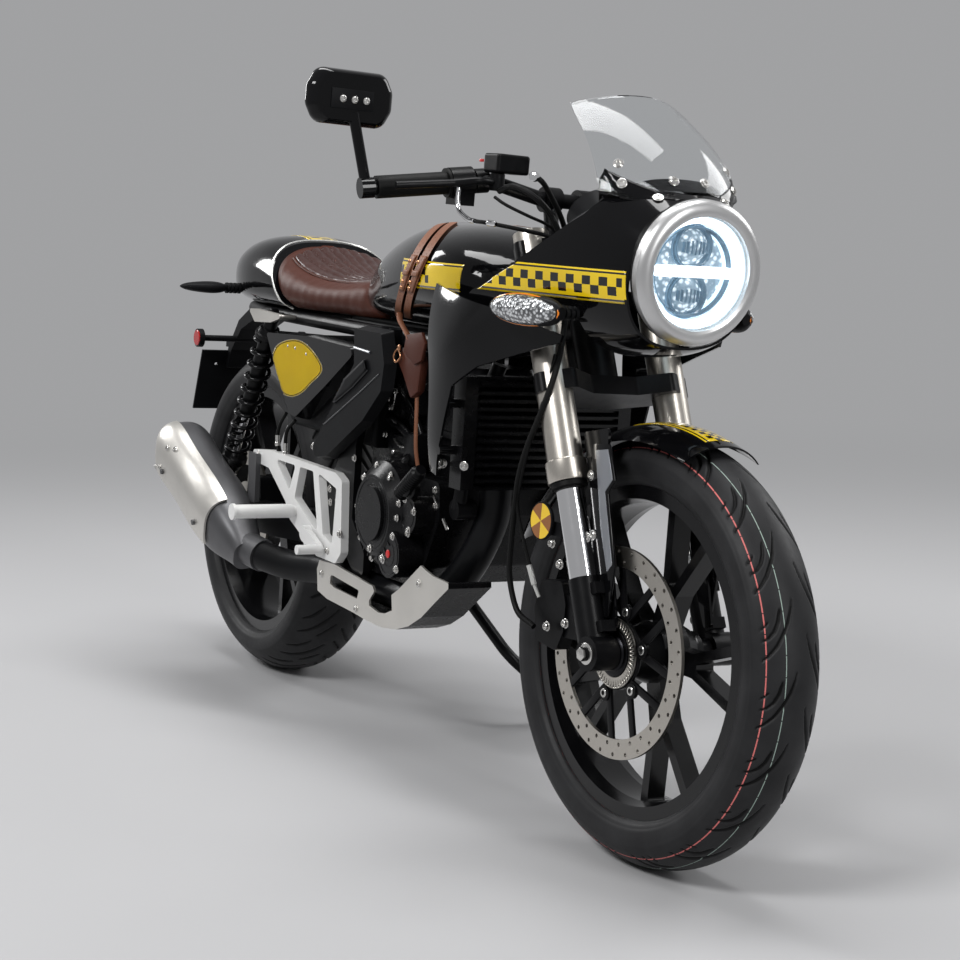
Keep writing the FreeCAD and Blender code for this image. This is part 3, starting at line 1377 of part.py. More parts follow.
def side_stand():
    """A bent tube with a forked head on the frame's lug, and a flat foot that lies on the ground."""
    place = Placement(on_ground(STAND_FOOT), Rotation(Vector(1, 0, 0), size("lean_angle")))
    foot = block(FOOT_HALF * -1, FOOT_HALF + Vector(0, 0, FOOT_THICK))
    foot.Placement = place
    start = STAND_PIVOT + (STAND_KNEE - STAND_PIVOT).normalize() * 24
    leg = pipe([start, STAND_KNEE, on_ground(STAND_FOOT, FOOT_THICK / 2)], size("stand_radius"), 60)
    below = block(Vector(-60, -60, -60), Vector(60, 60, 0))
    below.Placement = place
    down = Vector(STAND_KNEE - STAND_PIVOT)
    down = (down - STAND_AXIS * down.dot(STAND_AXIS)).normalize()
    reach = LUG_HALF + CHEEK
    head = rod(STAND_PIVOT - STAND_AXIS * reach, STAND_PIVOT + STAND_AXIS * reach, LUG_RADIUS)
    web = Part.makeBox(40, 24, 2 * reach, Vector(0, -12, -reach))
    web.Placement = Placement(STAND_PIVOT, Rotation(down, STAND_AXIS.cross(down), STAND_AXIS, "XZY"))
    lug_room = LUG_HALF + GAP
    slot = rod(STAND_PIVOT - STAND_AXIS * lug_room, STAND_PIVOT + STAND_AXIS * lug_room, LUG_RADIUS + 3)
    bolt = rod(STAND_PIVOT - STAND_AXIS * (reach + 4), STAND_PIVOT + STAND_AXIS * (reach + 4), STAND_BOLT)
    return head.fuse([web, leg.cut(below)]).cut(slot).fuse([foot, bolt])


feature("side_stand", side_stand())

# Windscreen and dash
def thin_blade(stations, wall, shift):
    """A curved sheet through cross arcs, each given by its edge point and its centre point."""
    arcs = []
    for (edge_x, edge_y, edge_z), (mid_x, mid_z) in stations:
        points = [Vector(edge_x, -edge_y, edge_z), Vector(mid_x, 0, mid_z), Vector(edge_x, edge_y, edge_z)]
        arcs.append(Part.Wire([Part.Arc(*[point + shift for point in points]).toShape()]))
    sheet_face = Part.makeLoft(arcs, False, False)
    solid = sheet_face.makeOffsetShape(wall, 0.01, fill=True)
    return solid if solid.Volume > 0 else solid.reversed()


SCREEN = [
    ((222, 112, 108), (284, 94)),
    ((204, 110, 140), (266, 130)),
    ((168, 104, 176), (224, 178)),
    ((128, 96, 204), (176, 216)),
    ((91, 88, 227), (128, 243)),
]
DASH = [((250, 118, 84), (262, 118)), ((206, 135, 66), (204, 112)), ((150, 150, 28), (150, 92))]


def windscreen():
    """A clear blown screen whose front edge sits down on the fairing."""
    skin = hull(FAIRING, FAIRING_SQUARE, grow=GAP, shift=Vector(HEAD.x, 0, HEAD.z))
    return thin_blade(SCREEN, 3.0, HEAD).cut(skin)


def dash_cowl():
    """The dark cowl under the screen, let into the fairing on both sides."""
    inside = hull(FAIRING, FAIRING_SQUARE, grow=-WALL - GAP, shift=Vector(HEAD.x, 0, HEAD.z))
    return thin_blade(DASH, 2.5, HEAD).common(inside)


feature("windscreen", windscreen())
feature("dash_cowl", dash_cowl())


POD = ((0.0, 0.4), (0.1, 0.78), (0.35, 1.0), (0.7, 0.8), (0.93, 0.42), (1.0, 0.14))


def pod(length, half_tall, half_deep):
    """A tapered lamp body along +Y, from its blunt end."""
    rings = []
    for share, scale in POD:
        ring = oval(0, half_deep * scale, -half_tall * scale, half_tall * scale, 0, 2.2, count=12)
        ring.rotate(Vector(), UP, 90)
        ring.translate(Vector(0, length * share, 0))
        rings.append(ring)
    return Part.makeLoft(rings, True, False)


def ribbed_stalk(base, reach, radius):
    """A rubber stalk straight out to the left, with raised rings."""
    ribs = []
    for step in range(1, int(reach / 8)):
        ribs.append(rod(base + Vector(0, step * 8, 0), base + Vector(0, step * 8 + 4, 0), radius + 3))
    return rod(base, base + Vector(0, reach, 0), radius).fuse(ribs)


def front_indicators():
    """Lamps on short stalks, swept back along the fairing."""
    base = HEAD + Vector(196, 112, -60)
    reach = 46
    lamp = pod(138, 21, 16)
    lamp.Placement = Placement(base + Vector(18, reach - 4, 0), Rotation(UP, 75))
    skin = hull(FAIRING, FAIRING_SQUARE, grow=GAP, shift=Vector(HEAD.x, 0, HEAD.z))
    return both_sides(lamp.fuse(ribbed_stalk(base, reach, 7)).cut(skin))


def rear_indicators():
    base = Vector(-22, 106, 722)
    reach = 40
    lamp = pod(90, 11, 20)
    lamp.Placement = Placement(base + Vector(0, reach - 4, 0), Rotation())
    skin = hull(TAIL, 2.8, grow=3 + 2 * GAP)
    return both_sides(lamp.fuse(ribbed_stalk(base, reach, 7)).cut(skin))


feature("front_indicators", front_indicators())
feature("rear_indicators", rear_indicators())

# Bodywork sides
SHROUD_FLARE = 4.5
SHROUD_BODY = [
    (-150, 168, -420, 40, -130), (-60, 174 + SHROUD_FLARE, -420, 40, -130),
    (40, 164 + SHROUD_FLARE, -420, 60, -60),
    (120, 148 + SHROUD_FLARE, -400, 70, -40), (200, 130 + SHROUD_FLARE, -380, 80, -30),
]


def tank_shrouds():
    """The angular panels that run from under the fairing, past the tank, down beside the radiator."""
    shift = Vector(HEAD.x, 0, HEAD.z)
    outer = hull(SHROUD_BODY, 3.4, shift=shift, grow=WALL)
    inner = hull(SHROUD_BODY, 3.4, shift=shift)
    fairing_skin = hull(FAIRING, FAIRING_SQUARE, grow=GAP, shift=shift)
    outline = from_head(
        [
            (-128, -40), (-60, -50), (30, -62), (110, -76), (186, -92), (182, -102), (90, -128), (10, -152),
            (-48, -186), (-72, -262), (-98, -326), (-122, -322), (-124, -220), (-136, -130),
        ]
    )
    shell = outer.cut(inner).common(prism(outline, 0, 260)).cut(fairing_skin)
    tank_side = 146 + GAP
    posts = [across(Vector(RADIATOR.x - 4, 0, height), 7, tank_side, 200) for height in (610, 540)]
    return both_sides(shell.fuse([post.common(outer) for post in posts]))


COVER = [
    (200, 660), (380, 668), (568, 664), (576, 650), (470, 586), (346, 516), (318, 520), (250, 590),
    (196, 656),
]
PANEL = [
    (590, 700), (694, 700), (712, 650), (704, 604), (640, 548), (504, 470), (458, 462), (442, 478),
    (520, 560), (596, 640),
]


def tray(outline, base_side, face_side, taper, corner):
    """A moulded cover: a flat face on returned edges, open towards the bike."""
    def lofted(inset, start, end):
        base = side_wire(shrunk(outline, 1 - inset), start, corner)
        face = side_wire(shrunk(outline, 1 - inset - taper), end, corner)
        return Part.makeLoft([base, face], True, True)

    outside = lofted(0.0, base_side, face_side)
    inside = lofted(0.035, base_side - 1, face_side - WALL)
    return outside.cut(inside)


def side_covers():
    boss = across(Vector(380, 0, 610), 8, 120 + GAP, 149)
    return both_sides(tray(COVER, 124, 152, 0.06, 12).fuse(boss))


def side_panels():
    boss = across(Vector(612, 0, 650), 8, PLATE_OUT + GAP, 160)
    return both_sides(tray(PANEL, 143, 163, 0.05, 6).fuse(boss))


def trim_fins():
    """Pale wedges under the saddle on both sides."""
    wedge = prism([(92, 692), (128, 694), (262, 690), (196, 674), (124, 670)], 134, 142, 4)
    rail_side = 90 + size("rail_radius") + GAP
    bar = across(Vector(214, 0, RAIL_HEIGHT), 4, rail_side, 136)
    return both_sides(wedge.fuse(bar))


def airbox():
    """The box behind the side covers, held between the pivot plates."""
    box = block(Vector(262, -120, 500), Vector(596, 120, 659))
    box = box.makeFillet(8, [edge for edge in box.Edges if abs(edge.BoundBox.YLength) < 1])
    return box.fuse(across(Vector(578, 0, 560), 8, -PLATE_IN, PLATE_IN))


feature("tank_shrouds", tank_shrouds())
feature("side_covers", side_covers())
feature("side_panels", side_panels())
feature("trim_fins", trim_fins())
feature("airbox", airbox())
feature("tank_straps", tank_straps())

# Tail lamp and plate holder
TAIL_END = TAIL[0][0]


def rear_light():
    lens = block(Vector(TAIL_END - 15, -40, 720), Vector(TAIL_END, 40, 748))
    return lens.makeFillet(6, [edge for edge in lens.Edges if edge.BoundBox.XLength > 5])


PLATE_TOP = Vector(-262, 0, 585)
PLATE_LOW = Vector(-300, 0, 465)
PLATE_HALF = 88
PLATE_HOLE = 3.2


def plate_holder():
    """The bracket under the tail that carries the plate, its lamp and two side reflectors."""
    hang = Vector(PLATE_LOW - PLATE_TOP).normalize()
    face = Vector(-hang.z, 0, hang.x) * -1
    roof = SEAT_FLOOR - GAP
    stem = prism(
        [
            (-40, roof), (-118, roof), (-214, 650), (-262, 592), (-276, 556), (-262, 548), (-246, 588),
            (-200, 634), (-110, 668), (-40, 668),
        ],
        -34,
        34,
        6,
    )
    stem = stem.cut(across(Vector(TAIL_CROSS, 0, RAIL_HEIGHT), TAIL_CROSS_RADIUS + GAP, -60, 60))
    corners = [PLATE_TOP, PLATE_LOW, PLATE_LOW + face * 4, PLATE_TOP + face * 4]
    plate = prism([(corner.x, corner.z) for corner in corners], -PLATE_HALF, PLATE_HALF)
    lamp = block(Vector(-284, -30, 592), Vector(-246, 30, 612))
    arm = across(Vector(-228, 0, 612), 6, -112, 112)
    solid = stem.fuse([plate, lamp, arm])
    middle = (PLATE_TOP + PLATE_LOW) * 0.5 + hang * -34
    for sign in (1, -1):
        solid = solid.fuse(across(Vector(-228, 0, 612), 18, sign * 104, sign * 114))
        hole = middle + Vector(0, sign * 55, 0)
        solid = solid.cut(rod(hole - face * 12, hole + face * 16, PLATE_HOLE))
    return solid


feature("rear_light", rear_light())
feature("plate_holder", plate_holder())

# Final drive
DRIVE = Vector(590, 0, 372)


def belt(first, first_radius, second, second_radius, side):
    """The outline of a loop round two circles, seen from the side."""
    run = second - first
    tilt = math.atan2(run.z, run.x)
    spread = math.acos((first_radius - second_radius) / run.Length)

    def at(centre, radius, angle):
        return Vector(centre.x + radius * math.cos(angle), side, centre.z + radius * math.sin(angle))

    top_first = at(first, first_radius, tilt + spread)
    low_first = at(first, first_radius, tilt - spread)
    top_second = at(second, second_radius, tilt + spread)
    low_second = at(second, second_radius, tilt - spread)
    edges = [
        Part.makeLine(low_first, low_second),
        Part.Arc(low_second, at(second, second_radius, tilt), top_second).toShape(),
        Part.makeLine(top_second, top_first),
        Part.Arc(top_first, at(first, first_radius, tilt + math.pi), low_first).toShape(),
    ]
    return Part.Wire(edges)


def chain():
    """Two rows of link plates joined by a pin at every second roller, round both sprockets."""
    pitch_angle = 2 * math.pi / size("sprocket_teeth")
    big = size("chain_pitch") / (2 * math.sin(pitch_angle / 2))
    small = size("chain_pitch") / (2 * math.sin(math.pi / 15))
    side = size("chain_side")
    plates = []
    for offset in (-6.4, 4.4):
        outer = Part.Face(belt(REAR_AXLE, big + 6, DRIVE, small + 6, side + offset))
        inner = Part.Face(belt(REAR_AXLE, big - 6, DRIVE, small - 6, side + offset))
        plates.append(outer.cut(inner).extrude(Vector(0, 2, 0)))
    path = belt(REAR_AXLE, big, DRIVE, small, side)
    total = path.Length
    links = int(round(total / size("chain_pitch")))
    pins = []
    wrap = path.Edges[3]
    for step in range(0, int(wrap.Length / (big * pitch_angle)), 2):
        angle = math.pi - math.radians(60) + step * pitch_angle
        if angle > math.pi + math.radians(66):
            continue
        centre = Vector(REAR_AXLE.x + big * math.cos(angle), 0, REAR_AXLE.z + big * math.sin(angle))
        pins.append(across(centre, 3.6, side - 6.2, side + 6.2))
    for run in (path.Edges[0], path.Edges[2]):
        count = int(run.Length / (2 * size("chain_pitch")))
        for step in range(2, count - 1):
            centre = run.valueAt(run.FirstParameter + (run.LastParameter - run.FirstParameter) * step / count)
            pins.append(across(centre, 3.6, side - 6.2, side + 6.2))
    return plates[0].fuse([plates[1]] + pins)


feature("chain", chain())


def rear_caliper():
    """A small caliper astride the rear disc, bolted on top of the right arm."""
    side = -size("rear_disc_side")
    centre = REAR_AXLE + Vector(92, 0, 50)
    outline = [(-34, -24), (34, -24), (30, 26), (-26, 26)]
    body = prism([(centre.x + x, centre.z + z) for x, z in outline], side - 26, side + 18, 6)
    slot = across(REAR_AXLE, size("rear_disc_radius") + 6, side - 7.5, side + 7.5)
    arm = prism(ARM, -size("arm_side") - ARM_HALF, -size("arm_side") + ARM_HALF, 8)
    return body.cut(slot).cut(arm)


feature("rear_caliper", rear_caliper())

doc.recompute()
failed = []
for item in doc.Objects:
    if "Invalid" in item.State or "Error" in item.State:
        failed.append(item.Name)
for item in nodes:
    if item.Shape.isNull() or not item.Shape.isValid() or not item.Shape.Solids:
        failed.append(item.Label)
if failed:
    raise RuntimeError("these pieces failed: " + ", ".join(failed))

os.makedirs("parts", exist_ok=True)
for item in nodes:
    item.Shape.exportStep(f"parts/{item.Label}.step")
    print(item.Label, len(item.Shape.Solids), round(item.Shape.Volume / 1000), item.Shape.BoundBox)
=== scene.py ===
import math

import bmesh
import bpy
import numpy as np
from mathutils import Matrix, Vector
from mathutils.bvhtree import BVHTree


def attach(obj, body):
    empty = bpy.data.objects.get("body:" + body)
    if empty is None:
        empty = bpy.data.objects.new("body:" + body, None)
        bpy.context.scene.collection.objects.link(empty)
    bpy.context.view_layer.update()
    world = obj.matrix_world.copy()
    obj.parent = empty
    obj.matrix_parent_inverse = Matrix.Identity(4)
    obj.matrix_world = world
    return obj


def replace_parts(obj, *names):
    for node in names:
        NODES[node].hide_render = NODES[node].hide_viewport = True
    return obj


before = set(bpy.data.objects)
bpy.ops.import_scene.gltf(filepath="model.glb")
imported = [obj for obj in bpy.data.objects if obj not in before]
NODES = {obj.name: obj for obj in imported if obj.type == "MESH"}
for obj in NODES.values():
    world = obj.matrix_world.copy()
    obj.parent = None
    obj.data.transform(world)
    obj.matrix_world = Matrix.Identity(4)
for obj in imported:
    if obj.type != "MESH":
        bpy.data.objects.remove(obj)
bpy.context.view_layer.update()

# Places. Pieces are drawn in the upright bike, in millimetres, then stand in the leaning one.
MM = 0.001
LEAN = math.radians(4.5)
RAKE = math.radians(24.2)
PITCH = math.radians(5.4)
STEERED = math.radians(4)
WHEELBASE = 1287
FRONT_RADIUS, FRONT_CROWN = 303, 62
REAR_RADIUS, REAR_CROWN = 307, 88
RIM_BEAD = 232.3
LEG_SIDE, LEG_AHEAD = 102, 28.8
X, Y, Z = Vector((1, 0, 0)), Vector((0, 1, 0)), Vector((0, 0, 1))
FORK_UP = Vector((-math.sin(RAKE), 0, math.cos(RAKE)))
FORK_AHEAD = Vector((math.cos(RAKE), 0, math.sin(RAKE)))
REAR_AXLE = Vector((0, 0, REAR_RADIUS - REAR_CROWN + REAR_CROWN / math.cos(LEAN)))
FRONT_AXLE = Vector((WHEELBASE, 0, FRONT_RADIUS - FRONT_CROWN + FRONT_CROWN / math.cos(LEAN)))
STEER_FOOT = FRONT_AXLE - FORK_AHEAD * 38.6
LAMP = Vector((math.cos(PITCH), 0, -math.sin(PITCH)))
LAMP_UP = LAMP.cross(Y).normalized()
LAMP_SEAT = STEER_FOOT + FORK_UP * 590 + Vector((308, 0, 6))
ORIGIN_X, ORIGIN_Y = -641.5, -19.5
CHASSIS = Matrix.Translation((ORIGIN_X, ORIGIN_Y, 0)) @ Matrix.Rotation(-LEAN, 4, "X")
STEER_TURN = Matrix.Rotation(STEERED, 4, FORK_UP)
FORK = CHASSIS @ Matrix.Translation(STEER_FOOT) @ STEER_TURN @ Matrix.Translation(-STEER_FOOT)
SCALE = Matrix.Scale(MM, 4)
BODY_PLACE = {"chassis": CHASSIS, "fork": FORK, "front_wheel": FORK, "rear_wheel": CHASSIS}
SIDES = (("right", -1), ("left", 1))


def on_fork(along, ahead=0.0, side=0.0):
    """A point of the fork, by its height along the legs."""
    return STEER_FOOT + FORK_UP * along + FORK_AHEAD * ahead + Y * side


def around_axle(axle, reach, turn, side):
    return Vector((axle.x + reach * math.cos(turn), side, axle.z + reach * math.sin(turn)))


def spoke(turn):
    """Unit direction in the bike's upright middle plane."""
    return Vector((math.cos(turn), 0, math.sin(turn)))


def facing(vector, way):
    """The vector, or its opposite where that points more along the way."""
    return -vector if vector.dot(way) < 0 else vector


def in_bike(node, body="chassis"):
    """The points of a CAD node, in millimetres in the upright bike."""
    inverse = (SCALE @ BODY_PLACE[body]).inverted()
    return [inverse @ v.co for v in NODES[node].data.vertices]


# Materials
MATERIALS = {}
DEEP_BLACK = (0.004, 0.004, 0.0045)


class Nodes:
    """A material's node tree with short calls for the nodes used here."""

    def __init__(self, name):
        self.material = bpy.data.materials.new(name)
        self.material.use_nodes = True
        self.tree = self.material.node_tree
        self.shader = self.tree.nodes["Principled BSDF"]
        self.coords = self.tree.nodes.new("ShaderNodeTexCoord")
        MATERIALS[name] = self.material

    def plug(self, value, socket):
        """Links an output, or writes a value; a colour gets its alpha."""
        if isinstance(value, bpy.types.NodeSocket):
            self.tree.links.new(value, socket)
        elif socket.type == "RGBA":
            socket.default_value = (*value[:3], 1)
        else:
            socket.default_value = value

    def add(self, kind, **values):
        node = self.tree.nodes.new("ShaderNode" + kind)
        for key, value in values.items():
            if key in node.inputs:
                self.plug(value, node.inputs[key])
            else:
                setattr(node, key, value)
        return node

    def set(self, **values):
        for key, value in values.items():
            self.plug(value, self.shader.inputs[key.replace("_", " ")])

    def math(self, operation, *terms):
        node = self.add("Math", operation=operation)
        for index, value in enumerate(terms):
            self.plug(value, node.inputs[index])
        return node.outputs[0]

    def both(self, first, second):
        return self.math("MULTIPLY", first, second)

    def within(self, value, middle, half):
        return self.math("LESS_THAN", self.math("ABSOLUTE", self.math("SUBTRACT", value, middle)), half)

    def noise(self, scale, detail, vector=None):
        vector = vector or self.coords.outputs["Object"]
        return self.add("TexNoise", Scale=scale, Detail=detail, Vector=vector).outputs["Fac"]

    def cells(self, scale):
        """Distance from the middle of the nearest cell."""
        return self.add("TexVoronoi", Scale=scale, Vector=self.coords.outputs["Object"]).outputs["Distance"]

    def axes(self, kind):
        return self.add("SeparateXYZ", Vector=self.coords.outputs[kind]).outputs

    def ramp(self, value, *stops):
        node = self.add("ValToRGB", Fac=value)
        for element, (place, colour) in zip(node.color_ramp.elements, stops):
            element.position = place
            element.color = (*colour, 1)
        return node.outputs["Color"]

    def mix(self, factor, first, second):
        node = self.add("Mix", data_type="RGBA")
        for index, value in ((0, factor), (6, first), (7, second)):
            self.plug(value, node.inputs[index])
        return node.outputs[2]

    def rough(self, value, low, high):
        node = self.add("MapRange", **{"To Min": low, "To Max": high, "Value": value})
        self.set(Roughness=node.outputs["Result"])

    def bump(self, height, strength, distance):
        node = self.add("Bump", Strength=strength, Distance=distance, Height=height)
        self.set(Normal=node.outputs["Normal"])


def scaled(colour, share):
    return tuple(min(1.0, c * share) for c in colour)


def finish(name, colour, roughness, spread=0.06, metallic=0.0, grain=400.0, depth=0.0, tint=0.12,
           specular=0.5, coat=0.0, **extra):
    """A plain finish with slow colour drift, uneven gloss and a fine surface."""
    n = Nodes(name)
    drift = n.ramp(n.noise(9.0, 3.0), (0.32, scaled(colour, 1 - tint)), (0.68, scaled(colour, 1 + tint)))
    n.set(Base_Color=drift, Metallic=metallic, Specular_IOR_Level=specular, Coat_Weight=coat, **extra)
    n.rough(n.noise(55.0, 4.0), max(0.02, roughness - spread), roughness + spread)
    if depth:
        n.bump(n.noise(grain, 5.0), 0.6, depth)


def brushed(name, colour, roughness, stretch):
    """Metal with fine lines, drawn out along the axes with a small stretch."""
    n = Nodes(name)
    mapping = n.add("Mapping", Vector=n.coords.outputs["Object"], Scale=stretch)
    lines = n.noise(900.0, 3.0, mapping.outputs["Vector"])
    n.set(Base_Color=n.ramp(lines, (0.3, scaled(colour, 0.86)), (0.7, colour)), Metallic=1.0)
    n.rough(n.noise(40.0, 3.0), roughness - 0.06, roughness + 0.06)
    n.bump(lines, 0.35, 0.00005)


def leather(name, colour, dark, worn, scale, roughness, specular=0.4):
    """Grained hide, darker in its creases and lighter where it is worn."""
    n = Nodes(name)
    grain = n.cells(scale)
    broad = n.noise(14.0, 4.0)
    base = n.mix(n.math("MULTIPLY", grain, 0.6), colour, dark)
    n.set(Base_Color=n.mix(n.math("MULTIPLY", broad, 0.5), base, worn), Specular_IOR_Level=specular)
    n.rough(broad, roughness - 0.10, roughness + 0.10)
    n.bump(n.math("ADD", grain, n.math("MULTIPLY", n.noise(scale * 2.2, 5.0), 0.5)), 0.5, 0.0004)


def rubber_tyre(name, lines):
    """Tyre rubber; the lines are given by their place across the tread, kept in the map's V, in metres; the
    grooves are darkened to near black as painted shade.
    """
    n = Nodes(name)
    base = n.ramp(n.noise(20.0, 4.0), (0.3, (0.013, 0.013, 0.014)), (0.7, (0.022, 0.0222, 0.0235)))
    uv = n.axes("UV")
    broken = n.math("GREATER_THAN", n.math("FRACT", n.math("MULTIPLY", uv["X"], 66.0)), 0.05)
    for place, half, colour in lines:
        base = n.mix(n.both(n.within(uv["Y"], place, half), broken), base, colour)
    groove = n.add("Attribute", attribute_name="groove").outputs["Fac"]
    # Painted shade: the rubber darkens to near black with the groove's depth.
    groove_shade = n.math("MINIMUM", n.math("MULTIPLY", groove, 1.6), 1.0)
    n.set(Base_Color=n.mix(groove_shade, base, (0.0015, 0.0015, 0.0016)), Specular_IOR_Level=0.18)
    n.rough(n.noise(90.0, 4.0), 0.40, 0.58)
    n.bump(n.noise(1300.0, 3.0), 0.4, 0.0002)


def checker_band(name, rows, pitch, first=0.0):
    """Yellow band with rows of black squares; U runs along in metres, V from 0 to 1 across the band."""
    n = Nodes(name)
    uv = n.axes("UV")
    u, v = uv["X"], uv["Y"]
    edge, black_line, gap = 0.055, 0.06, 0.11
    low = edge + black_line + gap
    high = 1 - low
    inside = n.both(n.math("GREATER_THAN", v, low), n.math("LESS_THAN", v, high))
    share = n.math("DIVIDE", n.math("SUBTRACT", v, low), high - low)
    row = n.math("FLOOR", n.math("MULTIPLY", share, float(rows)))
    column = n.math("FLOOR", n.math("DIVIDE", u, pitch))
    odd = n.math("GREATER_THAN", n.math("FRACT", n.math("MULTIPLY", n.math("ADD", row, column), 0.5)), 0.25)
    black = n.both(n.both(inside, odd), n.math("GREATER_THAN", u, first))
    for place in (edge + black_line / 2, 1 - edge - black_line / 2):
        black = n.math("MAXIMUM", black, n.within(v, place, black_line / 2))
    paint = n.ramp(n.noise(14.0, 3.0), (0.3, (0.76, 0.52, 0.004)), (0.7, (0.83, 0.59, 0.008)))
    n.set(Base_Color=n.mix(black, paint, DEEP_BLACK), Coat_Weight=1.0, Coat_Roughness=0.03)
    n.rough(n.noise(50.0, 3.0), 0.10, 0.18)


def round_field(name):
    """A yellow field with a black line and a pale rim; V runs from the middle to the edge."""
    n = Nodes(name)
    v = n.axes("UV")["Y"]
    paint = n.ramp(n.noise(14.0, 3.0), (0.3, (0.84, 0.59, 0.002)), (0.7, (0.90, 0.65, 0.003)))
    rim = n.mix(n.math("GREATER_THAN", v, 0.93), paint, (0.62, 0.60, 0.50))
    line = n.both(n.math("GREATER_THAN", v, 0.76), n.math("LESS_THAN", v, 0.86))
    n.set(Base_Color=n.mix(line, rim, DEEP_BLACK), Specular_IOR_Level=0.2)
    n.set(Coat_Weight=0.6, Coat_Roughness=0.03, Coat_IOR=1.3)
    n.rough(n.noise(50.0, 3.0), 0.12, 0.2)


def weave(name):
    """A twill weave under lacquer."""
    n = Nodes(name)
    place = n.axes("Object")
    along = n.math("FLOOR", n.math("MULTIPLY", n.math("ADD", place["X"], place["Z"]), 330.0))
    across = n.math("FLOOR", n.math("MULTIPLY", place["Y"], 330.0))
    over = n.math("LESS_THAN", n.math("FRACT", n.math("MULTIPLY", n.math("ADD", along, across), 0.25)), 0.45)
    n.set(Base_Color=n.mix(over, (0.008, 0.008, 0.009), (0.045, 0.045, 0.048)))
    n.set(Coat_Weight=0.7, Coat_Roughness=0.06)
    n.rough(over, 0.34, 0.22)
    n.bump(over, 0.4, 0.0002)


def clear(name, colour, roughness, ior):
    n = Nodes(name)
    n.set(Base_Color=colour, IOR=ior, Transmission_Weight=1.0)
    n.rough(n.noise(30.0, 3.0), roughness, roughness + 0.02)


def crystal(name):
    """Moulded prisms behind a clear lens."""
    n = Nodes(name)
    cells = n.cells(210.0)
    n.set(Base_Color=n.ramp(cells, (0.25, (0.82, 0.84, 0.86)), (0.62, (0.10, 0.105, 0.11))))
    n.set(Metallic=0.55, Coat_Weight=1.0, Coat_Roughness=0.02)
    n.rough(cells, 0.06, 0.22)
    n.bump(cells, 1.0, 0.0015)


def lit_crystal(name):
    """Moulded crystal in front of a lit reflector."""
    n = Nodes(name)
    cells = n.cells(120.0)
    n.set(Emission_Color=n.ramp(cells, (0.22, (0.80, 0.90, 0.96)), (0.5, (0.10, 0.17, 0.23))))
    n.set(Base_Color=(0.2, 0.22, 0.24), Emission_Strength=1.1)
    n.rough(cells, 0.08, 0.2)
    n.bump(cells, 1.0, 0.0015)


def glowing(name, colour, strength, low):
    """A lit part, a little uneven down to the low share of its colour."""
    n = Nodes(name)
    glow = n.ramp(n.noise(70.0, 3.0), (0.3, scaled(colour, low)), (0.7, colour))
    n.set(Base_Color=colour, Roughness=0.2, Emission_Strength=strength, Emission_Color=glow)


def blacks():
    finish("gloss_black", (0.0025, 0.0025, 0.003), 0.12, 0.03, tint=0.2, specular=0.06, coat=1.0,
           Coat_Roughness=0.02, Coat_IOR=1.27)
    cast = (0.0035, 0.0035, 0.004)
    finish("black_cast", cast, 0.32, 0.08, grain=900, depth=0.00012, tint=0.25, specular=0.14)
    finish("rim_black", cast, 0.2, 0.05, grain=900, depth=0.00005, tint=0.25, specular=0.35)
    finish("engine_black", DEEP_BLACK, 0.28, 0.08, grain=700, depth=0.00018, tint=0.3, specular=0.2)
    finish("header_black", (0.005, 0.0052, 0.006), 0.34, 0.07, grain=1200, depth=0.0001, tint=0.25,
           specular=0.16)
    finish("radiator_black", (0.003, 0.003, 0.0035), 0.26, 0.08, tint=0.3, specular=0.4)
    finish("dark_plastic", (0.006, 0.0062, 0.007), 0.44, 0.07, grain=1500, depth=0.00012, tint=0.15,
           specular=0.08)
    # Lighter than the panel's plastic: painted highlight along the side panels' rib lines, over their rounded
    # edges.
    finish("panel_rib_highlight_grey", (0.022, 0.023, 0.026), 0.48, 0.08, grain=900, depth=0.0002)
    finish("rubber", (0.004, 0.004, 0.004), 0.5, 0.08, grain=800, depth=0.0001, tint=0.2, specular=0.12)


def metals():
    finish("chrome", (0.80, 0.80, 0.81), 0.09, 0.04, metallic=1.0, tint=0.03)
    finish("steel_bolt", (0.62, 0.61, 0.59), 0.26, 0.08, metallic=1.0, tint=0.1)
    finish("brass", (0.52, 0.26, 0.14), 0.3, 0.08, metallic=1.0, tint=0.2)
    finish("champagne", (0.66, 0.64, 0.60), 0.36, metallic=0.85, grain=1800, depth=0.00005, tint=0.05)
    finish("silver_ring", (0.60, 0.60, 0.60), 0.34, 0.05, metallic=0.9, grain=2000, depth=0.00003, tint=0.04)
    finish("muffler_grey", (0.10, 0.10, 0.105), 0.40, 0.07, metallic=0.6, grain=900, depth=0.00005, tint=0.15)
    finish("piping", (0.62, 0.62, 0.60), 0.22, metallic=0.6)
    # Grey for painted reflections and highlights: the fender plates' facet and the side panels' step edges.
    finish("painted_sheen_grey", (0.22, 0.23, 0.25), 0.22, 0.05, metallic=0.3)
    brushed("nickel", (0.60, 0.565, 0.51), 0.30, (1, 1, 0.02))
    brushed("disc_steel", (0.56, 0.53, 0.48), 0.30, (1, 1, 1))
    brushed("brushed_black", (0.018, 0.018, 0.02), 0.34, (1, 1, 1))


